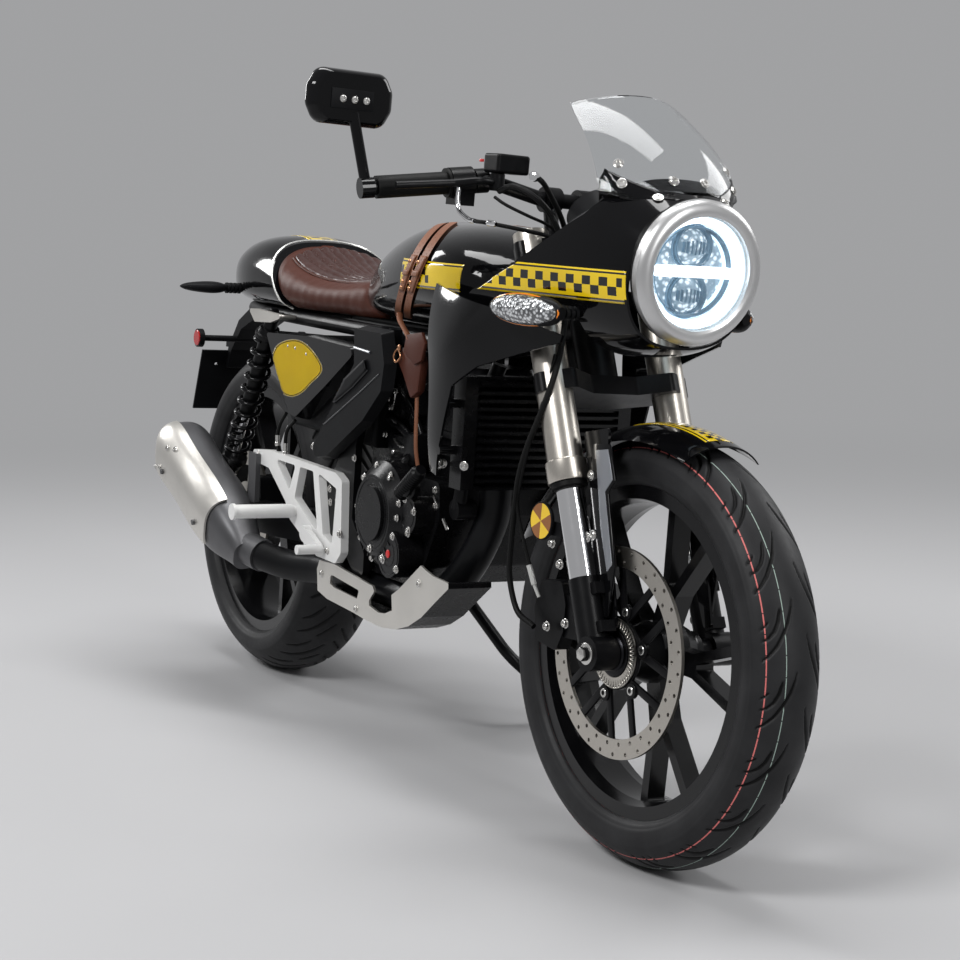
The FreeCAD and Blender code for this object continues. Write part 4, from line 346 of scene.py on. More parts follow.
def colours():
    finish("white_paint", (0.72, 0.72, 0.71), 0.34, grain=900, depth=0.00006, tint=0.04, coat=0.25)
    finish("red_paint", (0.5, 0.012, 0.012), 0.3, 0.05, tint=0.1)
    finish("red_lens", (0.42, 0.01, 0.012), 0.12, 0.04, tint=0.15, coat=0.6)
    finish("amber", (0.80, 0.22, 0.01), 0.14, 0.04, tint=0.1, coat=0.5)
    # Lit and shaded copies of the reflector's one amber: painted light on alternate sectors.
    finish("sector_lit_amber", (0.86, 0.56, 0.01), 0.18, 0.04, coat=1.0)
    finish("sector_shaded_amber", (0.26, 0.085, 0.006), 0.18, 0.04, coat=1.0)
    checker_band("band_fairing", 2, 0.0155, 0.006)
    checker_band("band_tank", 2, 0.0155, 0.082)
    checker_band("band_fender", 3, 0.0085)
    round_field("roundel")
    clear("screen", (0.93, 0.95, 0.96), 0.01, 1.2)
    clear("lens", (0.96, 0.98, 1.0), 0.0, 1.3)
    crystal("crystal")
    lit_crystal("lamp_crystal")
    glowing("glow_white", (0.90, 0.97, 1.0), 1.9, 0.8)
    glowing("glow_soft", (0.72, 0.84, 0.92), 1.0, 0.5)
    glowing("glow_blue", (0.12, 0.19, 0.25), 0.6, 0.3)


def skins():
    rubber_tyre("tyre", [(0.050, 0.0009, (0.60, 0.16, 0.15)), (0.024, 0.0006, (0.30, 0.38, 0.34))])
    rubber_tyre("tyre_plain", [])
    leather("seat_leather", (0.040, 0.012, 0.009), (0.016, 0.005, 0.004), (0.062, 0.020, 0.014), 420.0, 0.27)
    leather("seat_side", (0.062, 0.016, 0.009), (0.022, 0.007, 0.004), (0.082, 0.022, 0.012), 600.0, 0.45,
            specular=0.2)
    leather("strap_leather", (0.20, 0.072, 0.032), (0.07, 0.024, 0.012), (0.27, 0.11, 0.055), 700.0, 0.46)
    weave("carbon")


blacks()
metals()
colours()
skins()


# Meshes
def piece(name, vertices, faces, body, material, uvs=None, autosmooth=None):
    """A mesh piece from points in the upright bike, in millimetres."""
    points = np.asarray(vertices, float).reshape(-1, 3)
    m = np.array(SCALE @ BODY_PLACE[body])
    points = points @ m[:3, :3].T + m[:3, 3]
    mesh = bpy.data.meshes.new(name)
    mesh.from_pydata(points.tolist(), [], [tuple(int(i) for i in f) for f in faces])
    mesh.update()
    mesh.shade_smooth()
    if autosmooth:
        mesh.set_sharp_from_angle(angle=math.radians(autosmooth))
    if uvs is not None:
        layer = mesh.uv_layers.new(name="UVMap")
        loops = np.empty(len(mesh.loops), np.int32)
        mesh.loops.foreach_get("vertex_index", loops)
        layer.data.foreach_set("uv", np.asarray(uvs, float)[loops].ravel())
    mesh.materials.append(MATERIALS[material])
    obj = bpy.data.objects.new(name, mesh)
    bpy.context.scene.collection.objects.link(obj)
    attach(obj, body)
    return obj


def thicken(obj, thickness, offset=0.0):
    """Gives a sheet its thickness, in millimetres, both ways or inwards."""
    solid = obj.modifiers.new("thick", "SOLIDIFY")
    solid.thickness = thickness * MM
    solid.offset = offset


def grid_faces(rows, columns, close_rows=False, close_columns=False):
    row = np.arange(rows if close_rows else rows - 1)
    column = np.arange(columns if close_columns else columns - 1)
    r, c = np.meshgrid(row, column, indexing="ij")
    here, ahead = r * columns, (r + 1) % rows * columns
    c2 = (c + 1) % columns
    return np.stack([here + c, ahead + c, ahead + c2, here + c2], -1).reshape(-1, 4)


def circles(base, direction, profile, segments):
    """Circles about a line, one for each along and radius of the profile."""
    axis = Vector(direction).normalized()
    side = axis.orthogonal().normalized()
    other = axis.cross(side)
    points = []
    for along, radius in profile:
        for step in range(segments):
            turn = 2 * math.pi * step / segments
            out = side * math.cos(turn) + other * math.sin(turn)
            points.append(Vector(base) + axis * along + out * radius)
    return points


class Solid:
    """Collects simple closed forms into one mesh, in millimetres in the upright bike."""

    def __init__(self):
        self.points = []
        self.faces = []

    def add(self, points, faces):
        start = len(self.points)
        self.points.extend(tuple(p) for p in points)
        self.faces.extend(tuple(i + start for i in f) for f in faces)
        return self

    def turned(self, base, direction, profile, segments=24):
        """A form turned about a line: the profile gives along and radius, and ends are closed."""
        faces = [tuple(f) for f in grid_faces(len(profile), segments, False, True)]
        last = (len(profile) - 1) * segments
        if profile[0][1] > 0.01:
            faces.append(tuple(range(segments))[::-1])
        if profile[-1][1] > 0.01:
            faces.append(tuple(range(last, last + segments)))
        return self.add(circles(base, direction, profile, segments), [f[::-1] for f in faces])

    def ring(self, base, direction, profile, segments=48):
        """A closed profile turned about a line."""
        faces = grid_faces(len(profile), segments, True, True)
        return self.add(circles(base, direction, profile, segments), [tuple(f) for f in faces])

    def button(self, base, direction, radius, height, segments=24):
        """A plain disc."""
        return self.turned(base, direction, [(0, radius), (height, radius)], segments)

    def bolt(self, base, direction, radius=5.0, height=5.0, socket=True, washer=0.0):
        """A socket screw's head, or a hexagon head."""
        axis = Vector(direction).normalized()
        base = Vector(base)
        if washer:
            self.turned(base, axis, [(0, washer), (1.2, washer), (1.4, washer - 0.4)], 20)
        if socket:
            rim, floor = radius * 0.55, height - radius * 0.5
            head = [(0, radius), (height - 0.6, radius), (height, radius - 0.7)]
            self.turned(base, axis, head + [(height, rim), (floor, rim), (floor, 0.0)], 18)
        else:
            self.turned(base, axis, [(0, radius * 1.25), (1.0, radius * 1.25), (1.2, radius)], 18)
            head = [(0, radius), (height - 0.8, radius), (height, radius * 0.82), (height, 0.0)]
            self.turned(base + axis * 1.0, axis, head, 6)
        return self

    def tube(self, points, radius, segments=12, closed=False, flat=1.0, up=None):
        """A smooth tube through points."""
        path = smooth_path(points, closed)
        count = len(path)
        rings = []
        side = None if up is None else Vector(up)
        for index in range(count):
            ahead = path[(index + 1) % count] if closed or index + 1 < count else path[index]
            back = path[index - 1] if closed or index > 0 else path[index]
            way = (ahead - back).normalized()
            if side is None:
                side = way.orthogonal().normalized()
            side = (side - way * side.dot(way)).normalized()
            other = way.cross(side)
            for step in range(segments):
                turn = 2 * math.pi * step / segments
                rings.append(path[index] + (side * math.cos(turn) + other * math.sin(turn) * flat) * radius)
        faces = [tuple(f) for f in grid_faces(count, segments, closed, True)]
        if not closed:
            faces.append(tuple(range(segments))[::-1])
            faces.append(tuple(range((count - 1) * segments, count * segments)))
        return self.add(rings, [f[::-1] for f in faces])

    def add_bmesh(self, b, chamfer, corners, place):
        """Chamfers a work mesh and adds it, each point moved by place."""
        if chamfer:
            edges = b.edges[:] + corners
            bmesh.ops.bevel(b, geom=edges, offset=chamfer, segments=2, affect="EDGES", profile=0.6)
        b.verts.index_update()
        points = [place(v.co) for v in b.verts]
        faces = [tuple(v.index for v in f.verts) for f in b.faces]
        b.free()
        return self.add(points, faces)

    def box(self, centre, half, turn=None, chamfer=1.5):
        """A block with chamfered edges."""
        matrix = Matrix.Identity(3) if turn is None else turn
        b = bmesh.new()
        bmesh.ops.create_cube(b, size=2.0)
        for v in b.verts:
            v.co = Vector((v.co.x * half[0], v.co.y * half[1], v.co.z * half[2]))
        return self.add_bmesh(b, chamfer, b.verts[:], lambda co: Vector(centre) + matrix @ co)

    def plate(self, outline, side_from, side_to, chamfer=1.2):
        """A plate across the bike, cut to an outline given as forward and height."""
        b = bmesh.new()
        face = b.faces.new([b.verts.new((x, side_from, z)) for x, z in outline])
        made = bmesh.ops.extrude_face_region(b, geom=[face])
        moved = [g for g in made["geom"] if isinstance(g, bmesh.types.BMVert)]
        bmesh.ops.translate(b, verts=moved, vec=(0, side_to - side_from, 0))
        bmesh.ops.recalc_face_normals(b, faces=b.faces)
        return self.add_bmesh(b, chamfer, [], lambda co: co.copy())

    def mirror(self):
        """Adds the same again on the other side."""
        start = len(self.points)
        self.points.extend((p[0], -p[1], p[2]) for p in list(self.points))
        self.faces.extend(tuple(i + start for i in f[::-1]) for f in list(self.faces))
        return self

    def make(self, name, body, slot, material, autosmooth=35):
        return piece(name, self.points, self.faces, body, material, autosmooth=autosmooth)


def smooth_path(points, closed=False, steps=8):
    """Points along a smooth curve through the given ones."""
    p = [Vector(q) for q in points]
    if len(p) == 2:
        return p
    count = len(p)
    out = []
    for index in range(count if closed else count - 1):
        a = p[index - 1] if closed or index > 0 else p[index] * 2 - p[index + 1]
        b, c = p[index], p[(index + 1) % count]
        d = p[(index + 2) % count] if closed or index + 2 < count else c * 2 - b
        for step in range(steps):
            t = step / steps
            square = (2 * a - 5 * b + 4 * c - d) * t * t
            out.append(0.5 * ((2 * b) + (c - a) * t + square + (3 * b - a - 3 * c + d) * t**3))
    if not closed:
        out.append(p[-1])
    return out


def three_point_arc(a, b, c, count):
    """Points on the circle through three points of a plane."""
    (ax, ay), (bx, by), (cx, cy) = a, b, c
    d = 2 * (ax * (by - cy) + bx * (cy - ay) + cx * (ay - by))
    aa, bb, cc = ax**2 + ay**2, bx**2 + by**2, cx**2 + cy**2
    ux = (aa * (by - cy) + bb * (cy - ay) + cc * (ay - by)) / d
    uy = (aa * (cx - bx) + bb * (ax - cx) + cc * (bx - ax)) / d
    radius = math.hypot(ax - ux, ay - uy)
    angles = [math.atan2(y - uy, x - ux) for x, y in (a, b, c)]
    sweep = (angles[2] - angles[0]) % (2 * math.pi)
    if (angles[1] - angles[0]) % (2 * math.pi) > sweep:
        sweep -= 2 * math.pi
    turns = [angles[0] + sweep * t for t in np.linspace(0, 1, count)]
    return [(ux + radius * math.cos(turn), uy + radius * math.sin(turn)) for turn in turns]


class Skin:
    """Rays onto CAD nodes, in millimetres in the upright bike."""

    def __init__(self, *names, body="chassis"):
        points, faces = [], []
        for name in names:
            start = len(points)
            points.extend(in_bike(name, body))
            faces.extend([start + i for i in p.vertices] for p in NODES[name].data.polygons)
        self.tree = BVHTree.FromPolygons(points, faces)

    def hit(self, start, direction, far=2000.0):
        """The place and normal where a ray meets the skin, or None twice."""
        place, normal, _, _ = self.tree.ray_cast(Vector(start), Vector(direction).normalized(), far)
        return place, normal

    def near(self, point):
        place, normal, _, _ = self.tree.find_nearest(Vector(point))
        return place, normal


def line_map(rows):
    """A map with the length along each row in metres, and the row's share across."""
    uvs = []
    for index, row in enumerate(rows):
        length = 0.0
        for step, point in enumerate(row):
            length += (point - row[step - 1]).length if step else 0.0
            uvs.append((length * MM, index / (len(rows) - 1)))
    return uvs


def decal(name, skin, rows, direction, lift, material, thickness=0.3):
    """A thin layer on the chassis: each row is a list of start points whose rays find the skin."""
    down = Vector(direction).normalized()
    laid = []
    for row in rows:
        laid.append([])
        for start in row:
            place, normal = skin.hit(start, down, 400.0)
            if place is None:
                place, normal = skin.near(Vector(start) + down * 100)
            laid[-1].append(place + facing(normal, -down) * lift)
    points = [point for row in laid for point in row]
    faces = grid_faces(len(rows), len(rows[0]))
    a, b, c, _ = (Vector(points[i]) for i in faces[0])
    if (b - a).cross(c - a).dot(down) > 0:
        faces = faces[:, ::-1]
    obj = piece(name, points, faces, "chassis", material, uvs=line_map(laid))
    thicken(obj, thickness, -1.0)
    return obj


# CAD pieces that keep their shape, by material
NODE_LOOKS = {
    "rim_black": "front_rim rear_rim",
    "black_cast": "lower_clamp upper_clamp fork_feet front_caliper rear_caliper handlebar controls "
                  "frame_spine downtubes seat_rails pivot_plates swingarm side_stand shocks",
    "gloss_black": "front_fender fuel_tank seat_cowl fairing tank_shrouds side_covers mirror_right",
    "dark_plastic": "instrument side_panels airbox plate_holder front_indicators rear_indicators",
    "engine_black": "engine_case cylinder engine_covers",
    "header_black": "exhaust_header",
    "radiator_black": "radiator",
    "muffler_grey": "muffler",
    "champagne": "muffler_shield belly_guard trim_fins",
    "disc_steel": "front_disc rear_disc rear_sprocket chain",
    "nickel": "fork_tubes",
    "chrome": "fork_stanchions fuel_cap",
    "silver_ring": "headlight_ring",
    "white_paint": "rear_sets foot_levers foot_pegs",
    "screen": "windscreen",
    "lens": "headlight_unit",
    "red_lens": "rear_light",
    "carbon": "dash_cowl",
    "rubber": "grips",
    "tyre": "front_tyre rear_tyre",
    "seat_leather": "seat",
    "strap_leather": "tank_straps",
}
for look, node_names in NODE_LOOKS.items():
    for node_name in node_names.split():
        data = NODES[node_name].data
        data.materials.clear()
        data.materials.append(MATERIALS[look])


# Tyres
def tyre_profile(radius, width, crown, rim_half, step):
    """Outer profile from bead to bead as (radius, side, distance from the tread's middle)."""
    shoulder_side = 0.46 * width
    shoulder = radius - crown + math.sqrt(crown**2 - shoulder_side**2)
    wall = (RIM_BEAD + shoulder) / 2 + 2
    tread_half = math.asin(shoulder_side / crown)
    count = int(2 * tread_half * crown / step)
    tread = [
        (radius - crown + crown * math.cos(a), crown * math.sin(a), crown * a)
        for a in np.linspace(-tread_half, tread_half, count)
    ]
    side = three_point_arc((RIM_BEAD, rim_half + 1), (wall, width / 2), (shoulder, shoulder_side), 18)[:-1]
    left = [(r, s, crown * tread_half + (18 - i) * 2.6) for i, (r, s) in enumerate(side)]
    right = [(r, -s, -d) for r, s, d in left]
    return np.array(right + tread + left[::-1]), len(right), count


def groove_nearness(along, across, grooves, pitch, half_width):
    """Distance from the nearest groove as a share of its half width; one half of the tread is staggered."""
    near = np.full(along.shape, 1e9)
    for line in grooves:
        for (s0, w0, h0), (s1, w1, h1) in zip(line, line[1:]):
            for shift in (-pitch, 0, pitch):
                a = np.array([s0 + shift, w0])
                d = np.array([s1 + shift, w1]) - a
                for sign, lag in ((1, 0.0), (-1, 0.5)):
                    px = (along + lag * pitch) % pitch - a[0]
                    py = across * sign - a[1]
                    t = np.clip((px * d[0] + py * d[1]) / (d @ d), 0, 1)
                    half = np.maximum((h0 + (h1 - h0) * t) * half_width, 0.2)
                    near = np.minimum(near, np.hypot(px - t * d[0], py - t * d[1]) / half)
    return near


def outward(profile):
    """Unit normals of a profile, away from the wheel's middle."""
    along = np.gradient(profile[:, :2], axis=0)
    normal = np.stack([along[:, 1], -along[:, 0]], 1)
    normal /= np.linalg.norm(normal, axis=1)[:, None]
    return -normal if normal[len(profile) // 2, 0] < 0 else normal


def tyre(name, node, body, axle, radius, width, crown, rim_half, step, around, grooves, groove_half, depth,
         material):
    """A grooved tyre; the tread repeats twenty times around."""
    outer, first, count = tyre_profile(radius, width, crown, rim_half, step)
    across = outer[:, 2]
    periods = 20
    pitch = 2 * math.pi * radius / periods
    turns = np.arange(around) / around
    along_grid, across_grid = np.meshgrid((turns * periods % 1.0) * pitch, across, indexing="ij")
    near = groove_nearness(along_grid, across_grid, grooves, pitch, groove_half)
    cut = np.clip(1.35 - near, 0, 1) ** 0.8 * depth
    tread = np.zeros(len(across), bool)
    tread[first - 1:first + count + 1] = True
    cut[:, ~tread] = 0
    ridge = np.zeros(len(across))
    for level, high in ((238.0, 1.0), (246.0, 0.5), (268.0, 0.8)):
        ridge += high * np.exp(-(((outer[:, 0] - level) / 1.6) ** 2)) * ~tread
    moved = (ridge[None, :] - cut)[:, :, None]
    profile = outer[None, :, :2] + moved * outward(outer)[None, :, :]
    bead, floor = RIM_BEAD, RIM_BEAD - 15
    seat, inside = rim_half - 7.3, rim_half - 9.3
    inner = np.array([(bead, seat), (floor, inside), (floor, -inside), (bead, -seat)])
    profile = np.concatenate([profile, np.repeat(inner[None], around, 0)], 1)
    reach, side = profile[:, :, 0], profile[:, :, 1]
    angle = turns[:, None] * 2 * math.pi
    points = np.stack([axle.x + reach * np.cos(angle), side, axle.z + reach * np.sin(angle)], -1)
    columns = points.shape[1]
    across_all = np.concatenate([across, np.full(len(inner), 300.0)])
    uvs = np.stack(np.broadcast_arrays(turns[:, None], across_all[None, :] * -MM), -1)
    faces = grid_faces(around, columns, True, True)
    obj = piece(name, points.reshape(-1, 3), faces, body, material, uvs=uvs.reshape(-1, 2))
    obj.data.flip_normals()
    obj.data.shade_smooth()
    # The groove depth per point, read by the tyre material for its painted shade in the grooves.
    depth_share = np.zeros((around, columns), np.float32)
    depth_share[:, :cut.shape[1]] = cut / depth
    groove = obj.data.attributes.new("groove", "FLOAT", "POINT")
    groove.data.foreach_set("value", depth_share.ravel())
    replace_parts(obj, node)


# Grooves as lines of (along, across, share of the full width)
FRONT_GROOVES = [
    [(4, 55, 0.5), (10, 47, 0.8), (22, 36, 1.0), (38, 26, 1.0), (56, 17, 0.9), (74, 11, 0.5), (84, 9, 0.2)],
    [(30, 55, 0.4), (34, 46, 0.8), (42, 38, 1.0), (54, 32, 1.0), (66, 29, 0.8), (72, 28, 0.3)],
    [(46, 56, 0.3), (50, 50, 0.6), (56, 45, 0.3)],
]
REAR_GROOVES = [
    [(6, 66, 0.6), (20, 52, 1.0), (42, 36, 1.2), (66, 22, 1.0), (88, 10, 0.7)],
    [(46, 68, 0.5), (60, 54, 1.0), (80, 42, 1.0), (92, 36, 0.4)],
    [(16, 30, 0.6), (34, 18, 0.9), (52, 6, 0.5)],
]
fine = 1.0
tyre("front_tyre_tread", "front_tyre", "front_wheel", FRONT_AXLE, FRONT_RADIUS, width=112, crown=FRONT_CROWN,
     rim_half=44, step=1.5, around=int(820 * fine), grooves=FRONT_GROOVES, groove_half=2.3, depth=3.4,
     material="tyre")
tyre("rear_tyre_tread", "rear_tyre", "rear_wheel", REAR_AXLE, REAR_RADIUS, width=150, crown=REAR_CROWN,
     rim_half=58, step=2.0, around=int(780 * fine), grooves=REAR_GROOVES, groove_half=2.7, depth=3.8,
     material="tyre_plain")

# Front disc: a drilled band on a dark spider
DISC_SIDE = -72
DISC_RADIUS, DISC_INNER, DISC_HUB = 147, 119, 34
DISC_ARMS, DISC_BOLTS = 6, 62
DISC_MIDDLE = FRONT_AXLE + Y * DISC_SIDE


def cut_away(obj, cutter_solid):
    """Takes the cutter's form out of a front wheel piece."""
    cutter = cutter_solid.make("cutter", "front_wheel", "disc_steel", "disc_steel")
    cut = obj.modifiers.new("cut", "BOOLEAN")
    cut.operation = "DIFFERENCE"
    cut.solver = "EXACT"
    cut.object = cutter
    bpy.context.view_layer.update()
    graph = bpy.context.evaluated_depsgraph_get()
    mesh = bpy.data.meshes.new_from_object(obj.evaluated_get(graph))
    obj.modifiers.clear()
    obj.data = mesh
    bpy.data.objects.remove(cutter)


def disc_band():
    half = 2.5
    profile = [(-half, DISC_INNER), (half, DISC_INNER), (half, DISC_RADIUS), (-half, DISC_RADIUS)]
    band = Solid().ring(DISC_MIDDLE, Y, profile, 120)
    drill = Solid()
    for reach, lag in ((140.5, 0.0), (126.0, 0.5)):
        for hole in range(30):
            place = around_axle(FRONT_AXLE, reach, 2 * math.pi * (hole + lag) / 30, DISC_SIDE - 2 * half)
            drill.button(place, Y, 2.9, 4 * half, 14)
    ring = band.make("front_disc_band", "front_wheel", "disc_steel", "disc_steel")
    cut_away(ring, drill)
    ring.data.set_sharp_from_angle(angle=math.radians(35))
    return ring


def disc_spider():
    spider, screws = Solid(), Solid()
    rim = DISC_HUB + 17
    spider.ring(DISC_MIDDLE, Y, [(-2.2, DISC_HUB), (2.2, DISC_HUB), (2.2, rim), (-2.2, rim)], 72)
    for arm in range(DISC_ARMS):
        turn = 2 * math.pi * (arm + 0.25) / DISC_ARMS
        for lean in (-0.32, 0.32):
            start = spoke(turn) * (DISC_HUB + 12)
            end = spoke(turn + lean) * (DISC_INNER + 3)
            along = end - start
            rotation = Matrix.Rotation(math.atan2(-along.z, along.x), 3, "Y")
            spider.box(DISC_MIDDLE + (start + end) / 2, (along.length / 2 + 2, 2.2, 5.5), rotation, 0.6)
        boss = around_axle(FRONT_AXLE, DISC_BOLTS, turn, DISC_SIDE - 2)
        spider.turned(boss, -Y, [(-3, 11), (2, 11), (2.6, 10.4), (2.6, 0)], 24)
        screws.bolt(around_axle(FRONT_AXLE, DISC_BOLTS, turn, DISC_SIDE - 4.4), -Y, 6.5, 1.7)
    spider.make("front_disc_spider", "front_wheel", "black_cast", "black_cast")
    screws.make("front_disc_screws", "front_wheel", "chrome", "steel_bolt")


disc_ring = disc_band()
disc_spider()
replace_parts(disc_ring, "front_disc")

# Sensor ring and hub cap on the right, axle ends and pinch screws on both sides
TONE_MIDDLE = FRONT_AXLE + Y * -76.5
tone = Solid().ring(TONE_MIDDLE, Y, [(-1.3, 34), (1.3, 34), (1.3, 49), (-1.3, 49)], 96)
tone_ring = tone.make("tone_ring", "front_wheel", "disc_steel", "disc_steel")
slots = Solid()
for tooth in range(48):
    turn = 2 * math.pi * tooth / 48
    slots.box(TONE_MIDDLE + spoke(turn) * 43.5, (3.6, 4, 0.9), Matrix.Rotation(-turn, 3, "Y"), 0)
cut_away(tone_ring, slots)
hub = Solid()
hub.turned(FRONT_AXLE + Y * -77, -Y, [(0, 33), (2, 33), (3, 31), (3, 26), (5, 24), (6.5, 18.5), (6.5, 0)], 48)
hub.make("front_hub_cap", "front_wheel", "black_cast", "brushed_black")
axle_ends = Solid()
axle_ends.bolt(FRONT_AXLE + Y * -124.5, -Y, 9.5, 10, False)
axle_ends.turned(FRONT_AXLE + Y * -124, -Y, [(0, 15), (1.6, 15), (2, 14.4), (2, 0)], 32)
axle_ends.bolt(FRONT_AXLE + Y * 124.5, Y, 9.5, 10, False)
for side in (-LEG_SIDE, LEG_SIDE):
    axle_ends.bolt(on_fork(8, LEG_AHEAD + 22, side), FORK_AHEAD, 5.5, 6, True, 8)
axle_ends.make("axle_nuts", "fork", "chrome", "steel_bolt")


# Chequered bands on the fairing and the tank
def side_grid(sign, columns, rows, place):
    """Start points beside the bike; place gives forward and height for the shares along and across."""
    starts = []
    for v in np.linspace(0, 1, rows):
        spots = [place(t, v) for t in np.linspace(0, 1, columns)]
        starts.append([Vector((forward, sign * 250, height)) for forward, height in spots])
    return starts


def fairing_band(t, v):
    height = 785 + 44 * v
    rear = 1006 + 2.05 * (height - 785)
    return 1298 + (rear - 1298) * t, height


def tank_band(t, v):
    height = 771 + 44 * v + 3 * (1 - t) * (1 - v)
    return 902 + (704 - 902) * t, height


fairing_skin = Skin("fairing")
tank_skin = Skin("fuel_tank")
for side_name, sign in SIDES:
    for name, skin, columns, place, material in (
        ("fairing_band", fairing_skin, 90, fairing_band, "band_fairing"),
        ("tank_band", tank_skin, 70, tank_band, "band_tank"),
    ):
        starts = side_grid(sign, columns, 8, place)
        decal(f"{name}_{side_name}", skin, starts, (0, -sign, 0), 0.35, material)

# Round field on the side covers
ROUNDEL = [
    (262, 642), (314, 654), (367, 654), (421, 638), (453, 613), (406, 584),
    (371, 565), (326, 554), (278, 558), (244, 574), (230, 601), (239, 625),
]
ROUNDEL_MIDDLE = Vector((330, 0, 606))
cover_skin = Skin("side_covers")
edge = smooth_path([Vector((x, 0, z)) for x, z in ROUNDEL], True, 6)
edge.append(edge[0])


def held_edge(sign):
    """The field's edge, drawn in to where the side cover still is."""
    held = []
    for point in edge:
        share = 1.0
        while share > 0.4:
            start = ROUNDEL_MIDDLE.lerp(point, share) + Y * (sign * 250)
            if cover_skin.hit(start, Y * -sign, 170)[0] is not None:
                break
            share -= 0.02
        held.append(ROUNDEL_MIDDLE.lerp(point, share))
    return held


for side_name, sign in SIDES:
    held = held_edge(sign)
    rings = []
    for share in (0.0, 0.25, 0.5, 0.7, 0.85, 0.91, 0.95, 1.0):
        rings.append([ROUNDEL_MIDDLE.lerp(point, share) + Y * (sign * 250) for point in held])
    name = f"round_field_{side_name}"
    field = decal(name, cover_skin, rings, (0, -sign, 0), 0.5, "roundel", 0.0)
    b = bmesh.new()
    b.from_mesh(field.data)
    bmesh.ops.remove_doubles(b, verts=b.verts, dist=0.00002)
    b.to_mesh(field.data)
    b.free()
    field.data.shade_smooth()
rivets = Solid()
for forward, height in ((303, 641), (335, 640), (382, 634)):
    spot, _ = cover_skin.hit((forward, -250, height), (0, 1, 0))
    if spot is not None:
        rivets.turned(spot, -Y, [(0, 2.6), (1.2, 2.4), (2.0, 1.4), (2.2, 0)], 14)
rivets.mirror().make("field_rivets", "chassis", "chrome", "steel_bolt")

# Bands over the front fender and the tail
fender_skin = Skin("front_fender", body="fork")
fender_rows = []
for v in np.linspace(-1, 1, 7):
    row = []
    for turn in np.linspace(math.radians(74), math.radians(104), 40):
        out = spoke(turn)
        place, _ = fender_skin.hit(FRONT_AXLE + out * 420 + Y * (24 * v), -out, 200)
        row.append((place if place is not None else FRONT_AXLE + out * 333 + Y * (24 * v)) + out * 0.4)
    fender_rows.append(row)
points = [p for row in fender_rows for p in row]
uvs = line_map(fender_rows)
thicken(piece("fender_band", points, grid_faces(7, 40), "fork", "band_fender", uvs), 0.3)

cowl_skin = Skin("seat_cowl")
cowl_rows = [[Vector((x, 30 * v, 960)) for x in np.linspace(96, -118, 60)] for v in np.linspace(-1, 1, 7)]
decal("tail_band", cowl_skin, cowl_rows, (0, 0, -1), 0.4, "band_fairing")

# Bright line where the cowl meets the seat
middle = Vector((214 - 9 - (712 - 690) * 0.81, 0, 712))
line_points = []
for turn in np.linspace(math.radians(-97), math.radians(97), 56):
    out = Vector((-0.81 * math.cos(turn), math.sin(turn), math.cos(turn))).normalized()
    spot, normal = cowl_skin.hit(middle + out * 300, -out, 290)
    if spot is not None and (spot - middle).length > 60:
        line_points.append(spot + normal * 0.3)
Solid().tube(line_points[::2], 1.9, 8).make("cowl_line", "chassis", "chrome", "piping")


# Lamp: bowl, two stacked projectors, a bright bar and the lens
def lamp():
    level = Matrix.Rotation(PITCH, 3, "Y")
    bowl = Solid()
    wall_outside = [(-66, 0), (-66, 44), (-40, 66), (-8, 76.4), (0, 77.2)]
    wall_inside = [(1, 75.6), (-8, 74.6), (-38, 63), (-60, 42), (-60, 0)]
    bowl.turned(LAMP_SEAT, LAMP, wall_outside + wall_inside, 64)
    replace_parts(bowl.make("lamp_bowl", "chassis", "lens", "glow_soft"), "headlight_unit")
    crystals, dark, bright, blue = Solid(), Solid(), Solid(), Solid()
    crystals.turned(LAMP_SEAT - LAMP * 28, LAMP, [(-4, 57), (0, 57), (2, 50), (3, 0)], 56)
    for rise in (33, -33):
        middle = LAMP_SEAT - LAMP * 22 + LAMP_UP * rise
        dark.ring(middle, LAMP, [(-16, 25), (4, 27), (5, 29.5), (-16, 29.5)], 48)
        blue.ring(middle, LAMP, [(-12, 30.2), (0, 30.2), (1, 32.5), (-12, 32.5)], 48)
        crystals.turned(middle, LAMP, [(-14, 25), (-3, 25), (5, 18), (9, 9), (10.5, 0)], 32)
        for fin in range(-3, 4):
            dark.box(middle + Y * (fin * 6.4) + LAMP * 8, (3.2, 0.9, 10 - abs(fin)), level, 0.3)
    bright.box(LAMP_SEAT - LAMP * 15, (7, 62, 7.5), level, 2.0)
    bright.ring(LAMP_SEAT, LAMP, [(-12, 66), (-4, 70), (-3, 73.5), (-12, 73)], 64)
    blue.ring(LAMP_SEAT, LAMP, [(-20, 58), (-14, 60.5), (-14, 62.5), (-20, 60)], 64)
    crystals.make("lamp_crystals", "chassis", "lens", "lamp_crystal")
    dark.make("lamp_projectors", "chassis", "chrome", "glow_blue")
    bright.make("lamp_light_guides", "chassis", "lens", "glow_white")
    blue.make("lamp_inner_rings", "chassis", "chrome", "glow_blue")
    lens = Solid()
    lens_inside = [(6.2, 0), (5.7, 20), (4.2, 45), (1.4, 68), (-0.6, 75.4)]
    lens_outside = [(1.6, 76.9), (3.4, 70), (6.4, 45), (8.0, 20), (8.6, 0)]
    lens.turned(LAMP_SEAT, LAMP, lens_inside + lens_outside, 64)
    lens.make("lamp_lens", "chassis", "lens", "lens")
    gasket = Solid().ring(LAMP_SEAT, LAMP, [(-9, 98.5), (-9, 100.4), (-12.5, 100.4), (-12.5, 98.5)], 96)
    gasket.make("lamp_ring_gasket", "chassis", "rubber", "rubber")


lamp()


